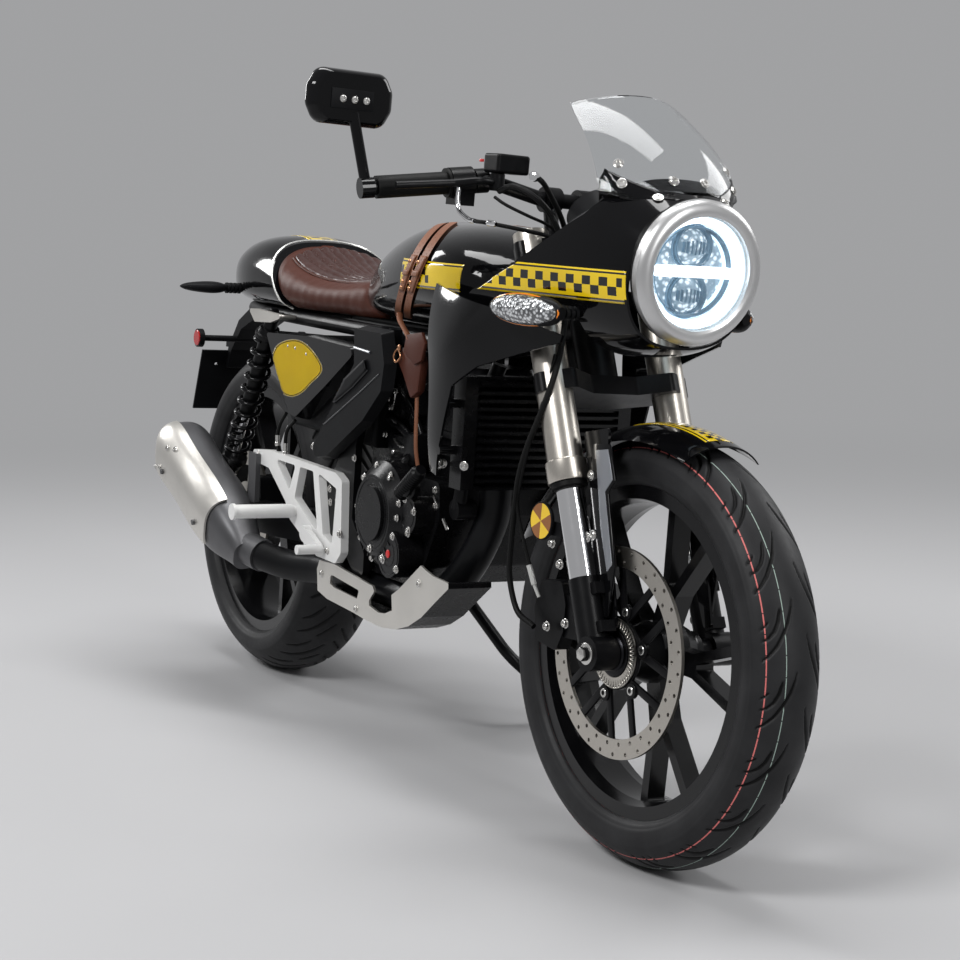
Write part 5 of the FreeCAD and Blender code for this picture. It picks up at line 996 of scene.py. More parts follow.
# Screen: black lower flange and screws
def screen_flange():
    skin = Skin("windscreen", "fairing")
    inside = Vector((1180, 0, 860))
    tops = [(1228, -104, 964), (1256, -90, 955), (1284, -62, 944), (1302, -32, 937), (1306, 0, 935)]
    feet = [(1221, -112, 928), (1250, -98, 926), (1276, -72, 922), (1296, -38, 922), (1302, 0, 922)]
    top_line, foot_line = smooth_path(tops), smooth_path(feet)
    for side_name, sign in (("right", 1), ("left", -1)):
        points = []
        for v in np.linspace(0, 1, 9):
            for high, low in zip(top_line, foot_line):
                spot, normal = skin.near(high.lerp(low, v))
                spot = spot + facing(normal, spot - inside)
                points.append((spot.x, spot.y * sign, spot.z))
        faces = grid_faces(9, len(top_line))
        name = f"screen_flange_{side_name}"
        thicken(piece(name, points, faces, "chassis", "gloss_black"), 0.8)
    screws = Solid()
    for x, y, z in ((1254, -91, 945), (1289, -54, 928), (1237, -88, 971), (1279, -25, 952)):
        for sign in (1, -1):
            place, normal = skin.near((x, y * sign, z))
            normal = facing(normal, place - inside)
            screws.bolt(place + normal * 1.2, normal, 5.6, 3.2, True, 7.4)
    screws.make("screen_screws", "chassis", "chrome", "steel_bolt")


screen_flange()


# Indicator lenses
def indicator_lens(name, pod, forward):
    """A crystal lens and its amber rim over the forward face of a lamp pod."""
    cloud = np.array([tuple(p) for p in pod])
    middle = cloud.mean(0)
    _, _, directions = np.linalg.svd(cloud - middle)
    long_axis, second, third = (Vector(a) for a in directions)
    face = facing(third if abs(third.dot(forward)) > abs(second.dot(forward)) else second, forward)
    tall = long_axis.cross(face).normalized()
    axes = (long_axis, tall, face)
    local = (cloud - middle) @ np.array([tuple(a) for a in axes]).T
    low, high = local.min(0), local.max(0)
    centre = Vector(middle)
    for axis, a, b in zip(axes, low, high):
        centre = centre + axis * ((a + b) / 2)
    half_long, half_tall, half_deep = (high - low) / 2
    count = 48

    def oval(share_long, share_tall, deep):
        points = []
        for step in range(count):
            turn = 2 * math.pi * step / count
            along = long_axis * (math.cos(turn) * half_long * share_long)
            points.append(centre + along + tall * (math.sin(turn) * half_tall * share_tall) + face * deep)
        return points

    lens_points = []
    for share in (0.0, 0.35, 0.65, 0.85, 0.97):
        lens_points += oval(share, share, half_deep * (1.12 * math.sqrt(max(0.0, 1 - share**2)) + 0.22))
    lens = piece(name, lens_points, grid_faces(5, count, False, True), "chassis", "crystal")
    thicken(lens, 1.0)
    rim = Solid().tube(oval(0.985, 1.0, half_deep * 0.28)[::3], 1.5, 8, True)
    rim.make(name + "_rim", "chassis", "lens", "amber")


for side_name, sign in SIDES:
    pod = [p for p in in_bike("front_indicators") if p.y * sign > 150]
    indicator_lens(f"front_indicator_lens_{side_name}", pod, Vector((1, -0.1 * sign, 0)))

# Saddle: a crowned pad with lengthwise channels inside a piped outline
ALONG, ACROSS = 140, 176
LIMIT = math.radians(95)
CHANNELS = 9
FRONT_SEAM = 0.06
SEAM_DEPTH = 1.4
seat_skin = Skin("seat")


def saddle_border(r):
    """Share of the half width where the ribbed field ends."""
    return 0.60 * math.sin(math.pi * min(1.0, 0.16 + 0.80 * r ** 0.8)) ** 0.55 + 0.02


def saddle_forward(r, turn):
    """Forward place for the share along, where the rear edge follows the cowl."""
    guess = 697 + 122 * max(0.0, math.cos(turn)) ** 0.7
    rear = 216 - (guess - 690) * (128 / 158)
    return rear + r * (520 - rear)


def saddle_point(r, turn):
    """Outer surface of the saddle, tucked under the tank where the tank is further out."""
    out = Vector((0, math.sin(turn), math.cos(turn)))
    axis_point = Vector((saddle_forward(r, turn), 0, 712))
    place, _ = seat_skin.hit(axis_point + out * 320, -out, 330)
    tank_place, _ = tank_skin.hit(axis_point + out * 320, -out, 330)
    reach = (place - axis_point).dot(out) if place is not None else 0.0
    tank_reach = (tank_place - axis_point).dot(out) if tank_place is not None else 0.0
    if tank_reach > reach:
        return axis_point + out * (tank_reach - 4), out, True
    if place is None:
        place, _ = seat_skin.near(axis_point + out * 100)
        return place, out, True
    return place, out, False


def saddle_push(r, w, forward):
    """How far the padding stands out, for the shares along and across."""
    border = saddle_border(r)
    s = w / border
    ribbed = abs(s) < 1
    if ribbed and r > FRONT_SEAM:
        wave = abs(math.sin(math.pi * CHANNELS * (s + 1) / 2))
        push = 0.6 + 5.0 * wave ** 0.5 + 2.0 * math.cos(s * math.pi / 2)
    else:
        push = 1.6 * min(1.0, max(0.0, (1.15 - abs(w)) * 3))
    seam = abs(abs(s) - 1.0) * border * 115
    if r > FRONT_SEAM and seam < 4:
        push = push * (seam / 4) - SEAM_DEPTH * (1 - seam / 4)
    front_seam = abs(r - FRONT_SEAM) * 420
    if ribbed and front_seam < 4:
        push = min(push, -SEAM_DEPTH + front_seam * 1.2)
    sag = 0.35 * math.sin(forward * 0.11 + 5 * w) + 0.25 * math.sin(forward * 0.23 - 9 * w)
    fade = min(1.0, r / 0.05) * min(1.0, (1 - r) / 0.06)
    return (push + sag) * fade - 3.2 * (1 - fade)


def saddle_skin():
    """The smoothed surface, its outward directions and where it is covered by the tank."""
    places = np.zeros((ALONG, ACROSS, 3))
    outs = np.zeros((ALONG, ACROSS, 3))
    covered = np.zeros((ALONG, ACROSS), bool)
    for i in range(ALONG):
        for j in range(ACROSS):
            point = saddle_point(i / (ALONG - 1), (2 * j / (ACROSS - 1) - 1) * LIMIT)
            places[i, j], outs[i, j], covered[i, j] = point
    keep = covered.copy()
    keep[:2], keep[-2:], keep[:, :2], keep[:, -2:] = True, True, True, True
    for _ in range(14):
        blurred = places.copy()
        blurred[1:-1] = (places[:-2] + 2 * places[1:-1] + places[2:]) / 4
        blurred[:, 1:-1] = (blurred[:, :-2] + 2 * blurred[:, 1:-1] + blurred[:, 2:]) / 4
        places = np.where(keep[:, :, None], places, blurred)
    return places, outs, covered


def saddle():
    places, outs, covered = saddle_skin()
    points = []
    for i in range(ALONG):
        r = i / (ALONG - 1)
        for j in range(ACROSS):
            w = 2 * j / (ACROSS - 1) - 1
            push = 0.0 if covered[i, j] else saddle_push(r, w, saddle_forward(r, w * LIMIT))
            points.append(Vector(places[i, j]) + Vector(outs[i, j]) * push)
    pad = piece("saddle", points, grid_faces(ALONG, ACROSS), "chassis", "seat_leather")
    pad.data.materials.append(MATERIALS["seat_side"])
    for index, polygon in enumerate(pad.data.polygons):
        i, j = divmod(index, ACROSS - 1)
        r = (i + 0.5) / (ALONG - 1)
        w = 2 * (j + 0.5) / (ACROSS - 1) - 1
        if abs(w) > saddle_border(r) or r < FRONT_SEAM:
            polygon.material_index = 1
    thicken(pad, 3.0, -1.0)
    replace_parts(pad, "seat")


def saddle_piping():
    piping = Solid()
    for sign in (1, -1):
        path = []
        for r in np.linspace(FRONT_SEAM, 0.93, 40):
            place, out, hidden = saddle_point(r, sign * saddle_border(r) * LIMIT)
            if not hidden:
                path.append(place + out * 0.8)
        piping.tube(path[::2], 2.3, 8)
    border = saddle_border(FRONT_SEAM)
    path = []
    for w in np.linspace(-border, border, 24):
        place, out, _ = saddle_point(FRONT_SEAM, w * LIMIT)
        path.append(place + out * 0.8)
    piping.tube(path, 2.3, 8)
    piping.make("saddle_piping", "chassis", "seat_leather", "seat_side")


saddle()
saddle_piping()

# Tank straps: second layer, keepers, rivets, stitching
strap_skin = Skin("tank_straps")


def strap_middle(at, height, side):
    return at + 1.376 * side + 0.727 * height


def strap_hit(at, sign, height, side=146, aside=0.0):
    start = (strap_middle(at, height, side) + aside, sign * 250, height)
    return strap_skin.hit(start, (0, -sign, 0), 400)[0]


def strap_layer(name, at, sign, high, low, half, lift, thickness, steps=14):
    """A piece of strap laid on the strap, between two heights."""
    rows = []
    for v in np.linspace(-1, 1, 5):
        row = []
        for z in np.linspace(high, low, steps):
            spot = strap_hit(at, sign, z)
            side = abs(spot.y) if spot is not None else 146
            row.append(Vector((strap_middle(at, z, side) + v * half, sign * 250, z)))
        rows.append(row)
    decal(name, strap_skin, rows, (0, -sign, 0), lift, "strap_leather", thickness)


rivets, threads = Solid(), Solid()
for index, at in enumerate((-37.7, -3.6)):
    for side_name, sign in SIDES:
        strap_layer(f"strap_tab_{index}_{side_name}", at, sign, 822, 764, 10.0, 2.1, 2.0)
        strap_layer(f"strap_keeper_{index}_{side_name}", at, sign, 798, 790, 11.6, 4.3, 2.4, 5)
        for z in (812, 780, 770):
            spot = strap_hit(at, sign, z, 147)
            if spot is not None:
                base = spot + Vector((0, sign * 1.8, 0))
                rivets.turned(base, (0, sign, 0), [(0, 3.6), (1.2, 3.4), (2.4, 2.2), (2.9, 0)], 16)
        for z in np.arange(736, 858, 5.0):
            for v in (-0.82, 0.82):
                spot = strap_hit(at, sign, z, 146, v * 9)
                if spot is not None:
                    rise = 2.3 if 764 < z < 822 else 0.5
                    threads.turned(spot, (0, sign, 0), [(0, 0.7), (rise, 0.6)], 6)
rivets.make("strap_rivets", "chassis", "chrome", "brass")
threads.make("strap_stitches", "chassis", "strap_leather", "seat_side")

# Leather pouch hung from the straps, with its ring
POUCH = [(738, 634), (716, 654), (732, 676), (770, 688), (800, 660), (792, 612), (768, 600)]
FLAP = [(746, 672), (752, 698), (804, 706), (818, 690), (808, 662), (784, 654)]
pouch = Solid().plate(POUCH, -146, -132, 4).plate(FLAP, -151, -145, 2)
pouch.make("leather_pouch", "chassis", "strap_leather", "seat_side")
ring = Solid()
ring.tube([(722, -149, 672), (712, -150, 662), (722, -151, 652), (734, -149, 662)], 1.5, 8, True)
ring.turned((734, -151, 676), -Y, [(0, 5), (2, 5), (3, 3.4), (3, 0)], 20)
ring.make("pouch_ring", "chassis", "chrome", "brass")
hanger = Solid()
hanger.tube([(668, -122, 726), (700, -136, 716), (745, -146, 700), (760, -147, 690)], 5, 8, flat=0.35, up=Y)
hanger.make("pouch_hanger", "chassis", "strap_leather", "strap_leather")

# Fork: collars, dust seals, plate, a grey facet of painted reflection, and screws
fork_low = min(FORK_UP.dot(p - STEER_FOOT) for p in in_bike("fork_tubes", "fork"))
collars, seals = Solid(), Solid()
for side in (LEG_SIDE, -LEG_SIDE):
    base = on_fork(fork_low, LEG_AHEAD, side)
    collars.ring(base, FORK_UP, [(0, 21), (0, 28.6), (1.5, 29.6), (30, 29.6), (31.5, 28.4), (31.5, 26)], 64)
    seals.ring(base, FORK_UP, [(-9, 20.7), (-9, 24.5), (-7.5, 26), (-0.2, 26), (-0.2, 20.7)], 64)
    seals.ring(base, FORK_UP, [(-11.5, 20.7), (-11.5, 23), (-9.2, 23), (-9.2, 20.7)], 64)
collars.make("fork_collars", "fork", "nickel", "nickel")
seals.make("fork_seals", "fork", "rubber", "rubber")
PLATE = [
    (1213, 584), (1252, 588), (1272, 541), (1258, 521), (1290, 424), (1284, 352), (1262, 350), (1238, 430),
    (1216, 512),
]
# Outline of a grey facet on each fender plate: a painted reflection of the studio light on a bevel.
SHEEN_FACET = [
    (1222, 576), (1250, 581), (1267, 541), (1252, 522), (1284, 426), (1274, 414), (1250, 470), (1226, 560),
]
plates = Solid().plate(PLATE, -92.5, -88.5, 1.2)
for x, z in ((1232, 546), (1246, 455), (1262, 366)):
    plates.button((x, -84, z), -Y, 7, 6, 20)
plates.mirror().make("fender_plates", "fork", "gloss_black", "gloss_black")
Solid().plate(SHEEN_FACET, -93.4, -92.0, 0.5).mirror().make("fender_painted_sheen", "fork", "nickel", "painted_sheen_grey")
screws = Solid()
for x, z in ((1216, 540), (1234, 459), (1262, 364)):
    screws.bolt((x, -92.6, z), -Y, 5.4, 3.6, True, 7.6)
for x, z in ((1166, 436), (1190, 410), (1216, 331), (1172, 318)):
    screws.bolt((x, -112, z), -Y, 5.2, 6, True, 7)
screws.mirror().make("fork_screws", "fork", "chrome", "steel_bolt")

# Round reflector in six sectors beside the fork; alternate sectors are painted lit and shaded amber, for the
# light its prisms catch
REFLECTOR = Vector((1147, -118, 465))
backing = Solid()
backing.turned(REFLECTOR, -Y, [(0, 27), (4.2, 27.6), (5.4, 26.6), (5.4, 25.6), (4.4, 25.4), (4.4, 0)], 48)
backing.box(REFLECTOR + Vector((22, 6, -8)), (20, 2.5, 10), None, 1.5)
backing.make("reflector_holder", "fork", "rubber", "dark_plastic")


def sector(index):
    """Points and faces of one raised sixth of the reflector."""
    rim = []
    for step in range(9):
        turn = math.pi / 2 + math.pi / 3 * index + math.pi / 3 * step / 8
        rim.append(REFLECTOR + Vector((25.2 * math.cos(turn), -4.6, 25.2 * math.sin(turn))))
    top = [REFLECTOR + Vector((0, -5.4, 0))] + [p + Vector((0, -0.6, 0)) for p in rim]
    foot = [REFLECTOR + Vector((0, -4.2, 0))] + rim
    count = len(top)
    faces = [tuple(range(count)), tuple(range(2 * count - 1, count - 1, -1))]
    faces += [(i, i + count, (i + 1) % count + count, (i + 1) % count) for i in range(count)]
    return top + foot, faces


# Three sectors painted as lit amber, three as shaded amber.
for name, start in (("bright", 1), ("dark", 0)):
    sectors = Solid()
    for index in range(start, 6, 2):
        sectors.add(*sector(index))
    sectors.make(f"reflector_{name}", "fork", "lens", "sector_lit_amber" if start else "sector_shaded_amber")

# Brake hose and sensor cable down the right leg
BRAKE_HOSE = [
    (1000, -146, 922), (1036, -146, 930), (1066, -130, 918), (1080, -106, 892), (1088, -88, 850),
    (1104, -84, 780), (1132, -106, 700), (1138, -128, 632), (1107, -130, 566), (1090, -129, 519),
    (1084, -127, 480), (1080, -125, 412), (1083, -124, 371), (1107, -122, 328), (1143, -116, 312),
]
SENSOR_CABLE = [
    (1130, -112, 700), (1128, -128, 617), (1112, -130, 572), (1093, -127, 514), (1088, -125, 475),
    (1114, -124, 424), (1130, -122, 396),
]
hoses = Solid().tube(BRAKE_HOSE, 4.4, 10).tube(SENSOR_CABLE, 2.6, 8)
hoses.make("fork_hoses", "fork", "rubber", "rubber")
ferrules = Solid()
ferrules.tube([(1128, -123, 398), (1141, -120, 372)], 4.2, 12)
ferrules.tube([(1141, -120, 372), (1150, -116, 356)], 2.8, 12)
ferrules.make("fork_ferrules", "fork", "chrome", "piping")


# Mirror back: a plate and three screws
def mirror_back():
    skin = Skin("mirror_right", body="fork")
    cloud = in_bike("mirror_right", "fork")
    top = max(p.z for p in cloud)
    sides = [p.y for p in cloud if p.z > top - 70]
    middle = (min(sides) + max(sides)) / 2
    height = top - 42
    plate, screws = Solid(), Solid()
    for shift in (-19, 0, 19):
        spot, _ = skin.hit((1500, middle + shift, height), (-1, 0, 0))
        if spot is not None:
            screws.bolt(spot + X, X, 4.4, 2.6, True, 5.2)
    spot, _ = skin.hit((1500, middle + 10, height), (-1, 0, 0))
    if spot is not None:
        plate.box((spot.x + 0.4, middle - 3, height), (1.2, 34, 14), None, 0.8)
    plate.make("mirror_plate", "fork", "gloss_black", "dark_plastic")
    screws.make("mirror_screws", "fork", "chrome", "steel_bolt")


mirror_back()

# Shock absorbers: an open spring around its damper
SHOCK_TOP, SHOCK_LOW, SHOCK_SIDE = Vector((159, 0, 684)), Vector((-14, 0, 362)), 121
SHOCK_WAY = (SHOCK_TOP - SHOCK_LOW).normalized()
SHOCK_LONG = (SHOCK_TOP - SHOCK_LOW).length
SPRING_TOP = SHOCK_LONG - 46


def coil(solid, foot, low, high, turns=9.6, radius=20.6, wire=3.9):
    """A spring's wire about the shock's line."""
    other = SHOCK_WAY.cross(Y).normalized()
    count = int(turns * 28)
    points = []
    for step in range(count + 1):
        t = step / count
        angle = t * turns * 2 * math.pi
        radial = Y * math.cos(angle) + other * math.sin(angle)
        centre = foot + SHOCK_WAY * (low + (high - low) * t) + radial * radius
        for k in range(10):
            a = 2 * math.pi * k / 10
            points.append(centre + radial * (wire * math.cos(a)) + SHOCK_WAY * (wire * math.sin(a)))
    faces = [tuple(f) for f in grid_faces(count + 1, 10, False, True)]
    faces += [tuple(range(10))[::-1], tuple(range(count * 10, count * 10 + 10))]
    solid.add(points, faces)


def shock(bodies, springs, rods, side):
    foot = SHOCK_LOW + Y * side
    top = SPRING_TOP
    lower = [(8, 8), (26, 9), (28, 13), (42, 14), (44, 22), (48, 23.4), (54, 23.4), (56, 21), (56, 9)]
    upper = [(top, 10), (top, 22), (top + 3, 23.6), (top + 9, 23.6), (top + 11, 20), (top + 20, 18)]
    bodies.turned(foot, SHOCK_WAY, lower, 32)
    bodies.turned(foot, SHOCK_WAY, upper + [(top + 22, 12.5), (SHOCK_LONG - 8, 12.5)], 32)
    bodies.turned(foot, SHOCK_WAY, [(150, 13), (152, 14.5), (top, 14.5)], 28)
    rods.turned(foot, SHOCK_WAY, [(50, 7), (152, 7)], 20)
    for step in range(10):
        thread = foot + SHOCK_WAY * (45.2 + step * 0.95)
        bodies.turned(thread, SHOCK_WAY, [(0, 23.6), (0.3, 23.9), (0.6, 23.6)], 40)
    for base, reach, half in ((foot, 12.6, 8), (SHOCK_TOP + Y * side, 13.6, 7)):
        end = 2 * half
        eye = [(0, 6.4), (0, reach - 1), (1, reach), (end - 1, reach), (end, reach - 1), (end, 6.4)]
        bodies.turned(base - Y * half, Y, eye, 30)
    coil(springs, foot, 58.5, top - 2.6)


bodies, springs, rods = Solid(), Solid(), Solid()
for sign in (1, -1):
    shock(bodies, springs, rods, SHOCK_SIDE * sign)
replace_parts(bodies.make("shock_bodies", "chassis", "black_cast", "black_cast"), "shocks")
springs.make("shock_springs", "chassis", "black_cast", "gloss_black", 70)
rods.make("shock_rods", "chassis", "chrome", "chrome")

# Engine: screws, cover rings, the filter's mark and the clutch cover's fins
CLUTCH, FILTER, PUMP = (694, 408), (752, 352), (790, 420)
engine_skin = Skin(
    "engine_covers", "engine_case", "cylinder", "pivot_plates", "belly_guard", "rear_sets", "side_panels",
)


def seated(x, z):
    """How far to the right the engine's outermost surface lies, or None."""
    place, _ = engine_skin.hit((x, -420, z), Y, 420)
    return None if place is None else place.y


def seat_bolt(x, z, radius, height, washer, limit=0.0):
    """A screw on that surface, left out where it lies further in than the limit."""
    level = seated(x, z)
    if level is not None and level < limit:
        bolts.bolt((x, level + 0.3, z), -Y, radius, height, True, washer)


bolts = Solid()
for x, z, radius in (
    (695, 351, 4.2), (628, 338, 4.6), (642, 319, 4.6), (801, 343, 4.6), (784, 333, 4.4), (736, 340, 4.4),
    (598, 470, 4.2), (626, 456, 4.6), (571, 480, 4.2), (814, 372, 4.4), (798, 392, 4.2), (560, 352, 4.6),
    (820, 438, 4.4), (816, 462, 4.2),
):
    seat_bolt(x, z, radius, 4.6, radius * 1.5)
for (x, z), count, reach in ((CLUTCH, 9, 76), (PUMP, 4, 25)):
    for step in range(count):
        turn = math.radians(20 + step * 360 / count)
        seat_bolt(x + reach * math.cos(turn), z + reach * math.sin(turn), 4.2, 4.4, 6.2, -112)
for x, z in ((487, 272), (627, 239), (844, 321)):
    seat_bolt(x, z, 4.4, 3.6, 6.4)
for x, z in ((167, 422), (514, 401), (202, 438), (344, 457), (516, 316), (481, 416), (486, 394), (451, 484)):
    seat_bolt(x, z, 4.4, 4.0, 6.4, -100)
muffler_skin = Skin("muffler_shield", "muffler")
for x, z in ((30, 425), (-26, 384), (8, 424), (-67, 379)):
    place, normal = muffler_skin.hit((x, -420, z), Y, 420)
    if place is not None:
        bolts.bolt(place - normal * 0.4, normal, 4.2, 3.0, True, 5.6)
bolts.make("side_bolts", "chassis", "chrome", "steel_bolt")

COVER_RINGS = ((CLUTCH, 56, 0.8), (CLUTCH, 47, 0.6), (FILTER, 33, 0.8), (FILTER, 20, 0.6), (PUMP, 22, 0.8))
rings = Solid()
for (x, z), reach, lift in COVER_RINGS:
    level = seated(x + reach, z)
    if level is not None:
        ridge = [(-0.6, reach - 1.2), (lift, reach - 0.6), (lift, reach + 0.6), (-0.6, reach + 1.2)]
        rings.ring((x, level, z), -Y, ridge, 64)
rings.make("cover_rings", "chassis", "engine_black", "engine_black")
mark_place = (FILTER[0], seated(*FILTER) + 0.4, FILTER[1])
mark = Solid().turned(mark_place, -Y, [(0, 6.5), (1.4, 6.5), (2.0, 5.6), (2.0, 0.0)], 24)
mark.make("filter_mark", "chassis", "red_lens", "red_paint")
fins = Solid()
for step in range(11):
    turn = math.radians(200 + step * 14)
    x, z = CLUTCH[0] + 70 * math.cos(turn), CLUTCH[1] + 70 * math.sin(turn)
    level = seated(x, z)
    if level is not None and level < -130:
        way = spoke(turn)
        fins.box((x, level - 0.4, z), (4.5, 1.4, 1.3), Matrix((way, Y, way.cross(Y))).transposed(), 0.6)
fins.make("clutch_fins", "chassis", "engine_black", "engine_black")


# Intake: hoses, plugs and the dark parts behind the side panel
def intake_parts():
    fill = Solid()
    boot = [(0, 27), (6, 30), (38, 30), (40, 25), (66, 25), (68, 29), (84, 29), (86, 22)]
    fill.turned((596, -62, 566), (0.92, 0, -0.18), boot, 30)
    fill.box((655, -72, 508), (44, 30, 20), None, 4)
    fill.box((708, -92, 512), (20, 20, 26), None, 4)
    fill.box((640, -64, 590), (52, 26, 26), None, 5)
    fill.tube([(560, -88, 562), (610, -96, 548), (664, -98, 536), (704, -96, 510), (726, -94, 476)], 7, 14)
    fill.tube([(575, -80, 526), (618, -90, 506), (650, -94, 486), (672, -100, 470)], 5, 12)
    fill.tube([(600, -86, 610), (648, -92, 590), (690, -92, 560), (716, -88, 520)], 4.4, 12)
    fill.box((596, -66, 486), (86, 14, 30), None, 5)
    motor = [(0, 10), (3, 15), (60, 15), (63, 18), (74, 18), (76, 12)]
    fill.turned((640, -96, 483), (0.97, -0.1, 0.1), motor, 28)
    fill.turned((800, -146, 462), (0.2, -0.95, 0.1), [(0, 16), (10, 16), (12, 13), (18, 13), (19, 9)], 28)
    fill.make("intake_parts", "chassis", "engine_black", "engine_black")


def intake_bellows():
    folds = []
    for step in range(13):
        folds += [(step * 7.0, 8.6), (step * 7.0 + 2.2, 12.4), (step * 7.0 + 3.6, 12.4)]
    profile = [(a * 0.74, r) for a, r in folds] + [(68, 8.6), (74, 8.6), (74, 0.0)]
    bellows = Solid().turned((784, -161, 452), (57, 4, 46), profile, 26)
    bellows.make("intake_bellows", "chassis", "black_cast", "black_cast")


def intake_bits():
    bits = Solid()
    for x, z, radius in (
        (628, 585, 4.4), (654, 600, 4.4), (641, 572, 3.8), (525, 546, 4.6), (556, 530, 4.2), (508, 496, 4.6),
        (625, 526, 4.0), (722, 657, 4.0),
    ):
        bits.bolt((x, -112, z), -Y, radius, 5, False)
    for x, z in ((899, 516), (966, 521)):
        bits.bolt((x, -150, z), (0.6, -0.8, 0), 4.6, 6, True, 7)
    bits.tube([(622, -110, 592), (634, -114, 604), (648, -112, 596), (640, -110, 574)], 2.2, 8)
    for x, z in ((644, 500), (690, 500), (735, 470)):
        level = seated(x, z)
        depth = -103 if level is None or level > -103 else level + 0.4
        bits.turned((x, depth + 3, z), -Y, [(0, 4.2), (8, 4.2), (9, 3.2), (9, 0.0)], 18)
    bits.tube([(640, -104, 520), (668, -106, 512), (700, -106, 516)], 2.4, 10)
    bits.tube([(810, -116, 452), (826, -112, 430), (840, -104, 404)], 2.6, 10)
    plug = [(-12, 6), (0, 6), (1, 9), (7, 9), (8, 5), (8, 0.0)]
    bits.turned((806, -110, 500), (0.3, -1, -0.2), plug, 20)
    bits.make("intake_bits", "chassis", "chrome", "steel_bolt")


intake_parts()
intake_bellows()
intake_bits()
strip = Solid()
strip.tube([(742, -120, 600), (748, -122, 560), (752, -122, 520), (756, -118, 488)], 3.2, 8, flat=0.35)
strip.make("hanging_strip", "chassis", "strap_leather", "strap_leather")

# The guard's floor stays dark behind its front edge
guard = NODES["belly_guard"].data
guard.materials.append(MATERIALS["engine_black"])
to_bike = (SCALE @ CHASSIS).inverted()
for polygon in guard.polygons:
    side = abs((to_bike @ polygon.center).y)
    normal = to_bike.to_3x3() @ polygon.normal
    if side < 144.5 and abs(normal.y) < abs(normal.x) + abs(normal.z) and (normal.z > 0 or side < 140):
        polygon.material_index = 1


# Side panels: the raised steps and lines of their pressed shape; the rounded lines are a lighter grey and the
# two bars a pale grey, as painted highlights on the step edges
def along_line(points, t):
    """Point at a share of a line's length, as forward and height."""
    lengths = [math.hypot(b[0] - a[0], b[1] - a[1]) for a, b in zip(points, points[1:])]
    left = t * sum(lengths)
    for a, b, length in zip(points, points[1:], lengths):
        if left <= length:
            return a[0] + (b[0] - a[0]) * left / length, a[1] + (b[1] - a[1]) * left / length
        left -= length
    return points[-1]


STEP_OUTER = [(362, 540), (447, 530), (492, 548), (598, 600), (650, 632)]
STEP_INNER = [(372, 556), (458, 550), (500, 570), (588, 620), (640, 648)]
LOWER_RIB = [(349, 520), (447, 508), (500, 530), (620, 592), (690, 630)]
panel_skin = Skin("side_panels")


def panel_step(t, v):
    a, b = along_line(STEP_OUTER, t), along_line(STEP_INNER, t)
    return a[0] + (b[0] - a[0]) * v, a[1] + (b[1] - a[1]) * v


def close_points(path):
    """Points about nine millimetres apart along a line of corners."""
    dense = []
    for a, b in zip(path, path[1:]):
        steps = max(2, int(math.hypot(b[0] - a[0], b[1] - a[1]) / 9))
        dense += [(a[0] + (b[0] - a[0]) * t / steps, a[1] + (b[1] - a[1]) * t / steps) for t in range(steps)]
    return dense + [path[-1]]


def panel_rib(ribs, path, sign, lift):
    """Tubes along the stretches of a line that lie on the panel."""
    runs = [[]]
    for x, z in close_points(path):
        place, _ = panel_skin.hit((x, sign * 260, z), (0, -sign, 0), 150)
        if place is None:
            runs.append([])
        else:
            runs[-1].append(place + Y * sign * lift)
    for run in runs:
        if len(run) > 2:
            ribs.tube(run, 1.5, 8)


for side_name, sign in SIDES:
    starts = side_grid(sign, 60, 6, panel_step)
    name = f"panel_step_{side_name}"
    decal(name, panel_skin, starts, (0, -sign, 0), 2.6, "dark_plastic", 2.6)
ribs, highlight_bars = Solid(), Solid()
for sign in (1, -1):
    for path, lift in ((STEP_OUTER, 2.0), (STEP_INNER, 2.0), (LOWER_RIB, 0.0)):
        panel_rib(ribs, path, sign, lift)
    # Two pale bars on the step edges: painted highlights.
    for bar in (((596, 664), (654, 661)), ((552, 637), (602, 632))):
        hits = [panel_skin.hit((x, sign * 260, z), (0, -sign, 0), 150)[0] for x, z in bar]
        ends = [place + Y * sign * 0.8 for place in hits if place is not None]
        if len(ends) == 2:
            highlight_bars.tube([ends[0], (ends[0] + ends[1]) / 2, ends[1]], 2.2, 8)
ribs.make("panel_ribs", "chassis", "dark_plastic", "panel_rib_highlight_grey")
highlight_bars.make("panel_highlight_bars", "chassis", "dark_plastic", "painted_sheen_grey")

# Rear: brake hoses, side reflectors
hoses = Solid()
for path in (
    [(287, -142, 522), (270, -146, 498), (262, -146, 471), (269, -144, 446), (262, -138, 424)],
    [(327, -142, 514), (303, -146, 492), (299, -146, 460), (306, -144, 438)],
):
    hoses.tube(path, 3.2)
hoses.make("rear_hoses", "chassis", "rubber", "rubber")
ferrules = Solid()
for x, z, long in ((299, 470, 14), (264, 480, 12)):
    profile = [(0, 4.4), (long, 4.4), (long + 1, 5.2), (long + 6, 5.2), (long + 7, 4)]
    ferrules.turned((x, -146, z), (0.1, 0, -1), profile, 18)
ferrules.make("rear_ferrules", "chassis", "chrome", "steel_bolt")
tail_skin = Skin("plate_holder", "rear_light", "rear_indicators", "seat_cowl")
tail_glass = Solid()
for sign in (1, -1):
    place, _ = tail_skin.hit((-228, sign * 320, 612), (0, -sign, 0), 320)
    if place is not None:
        base = (-228, place.y - sign * 0.4, 612)
        tail_glass.turned(base, Y * sign, [(0, 15.2), (1.6, 15.2), (2.6, 14), (2.6, 0.0)], 40)
tail_glass.make("side_reflectors", "chassis", "red_lens", "red_lens")


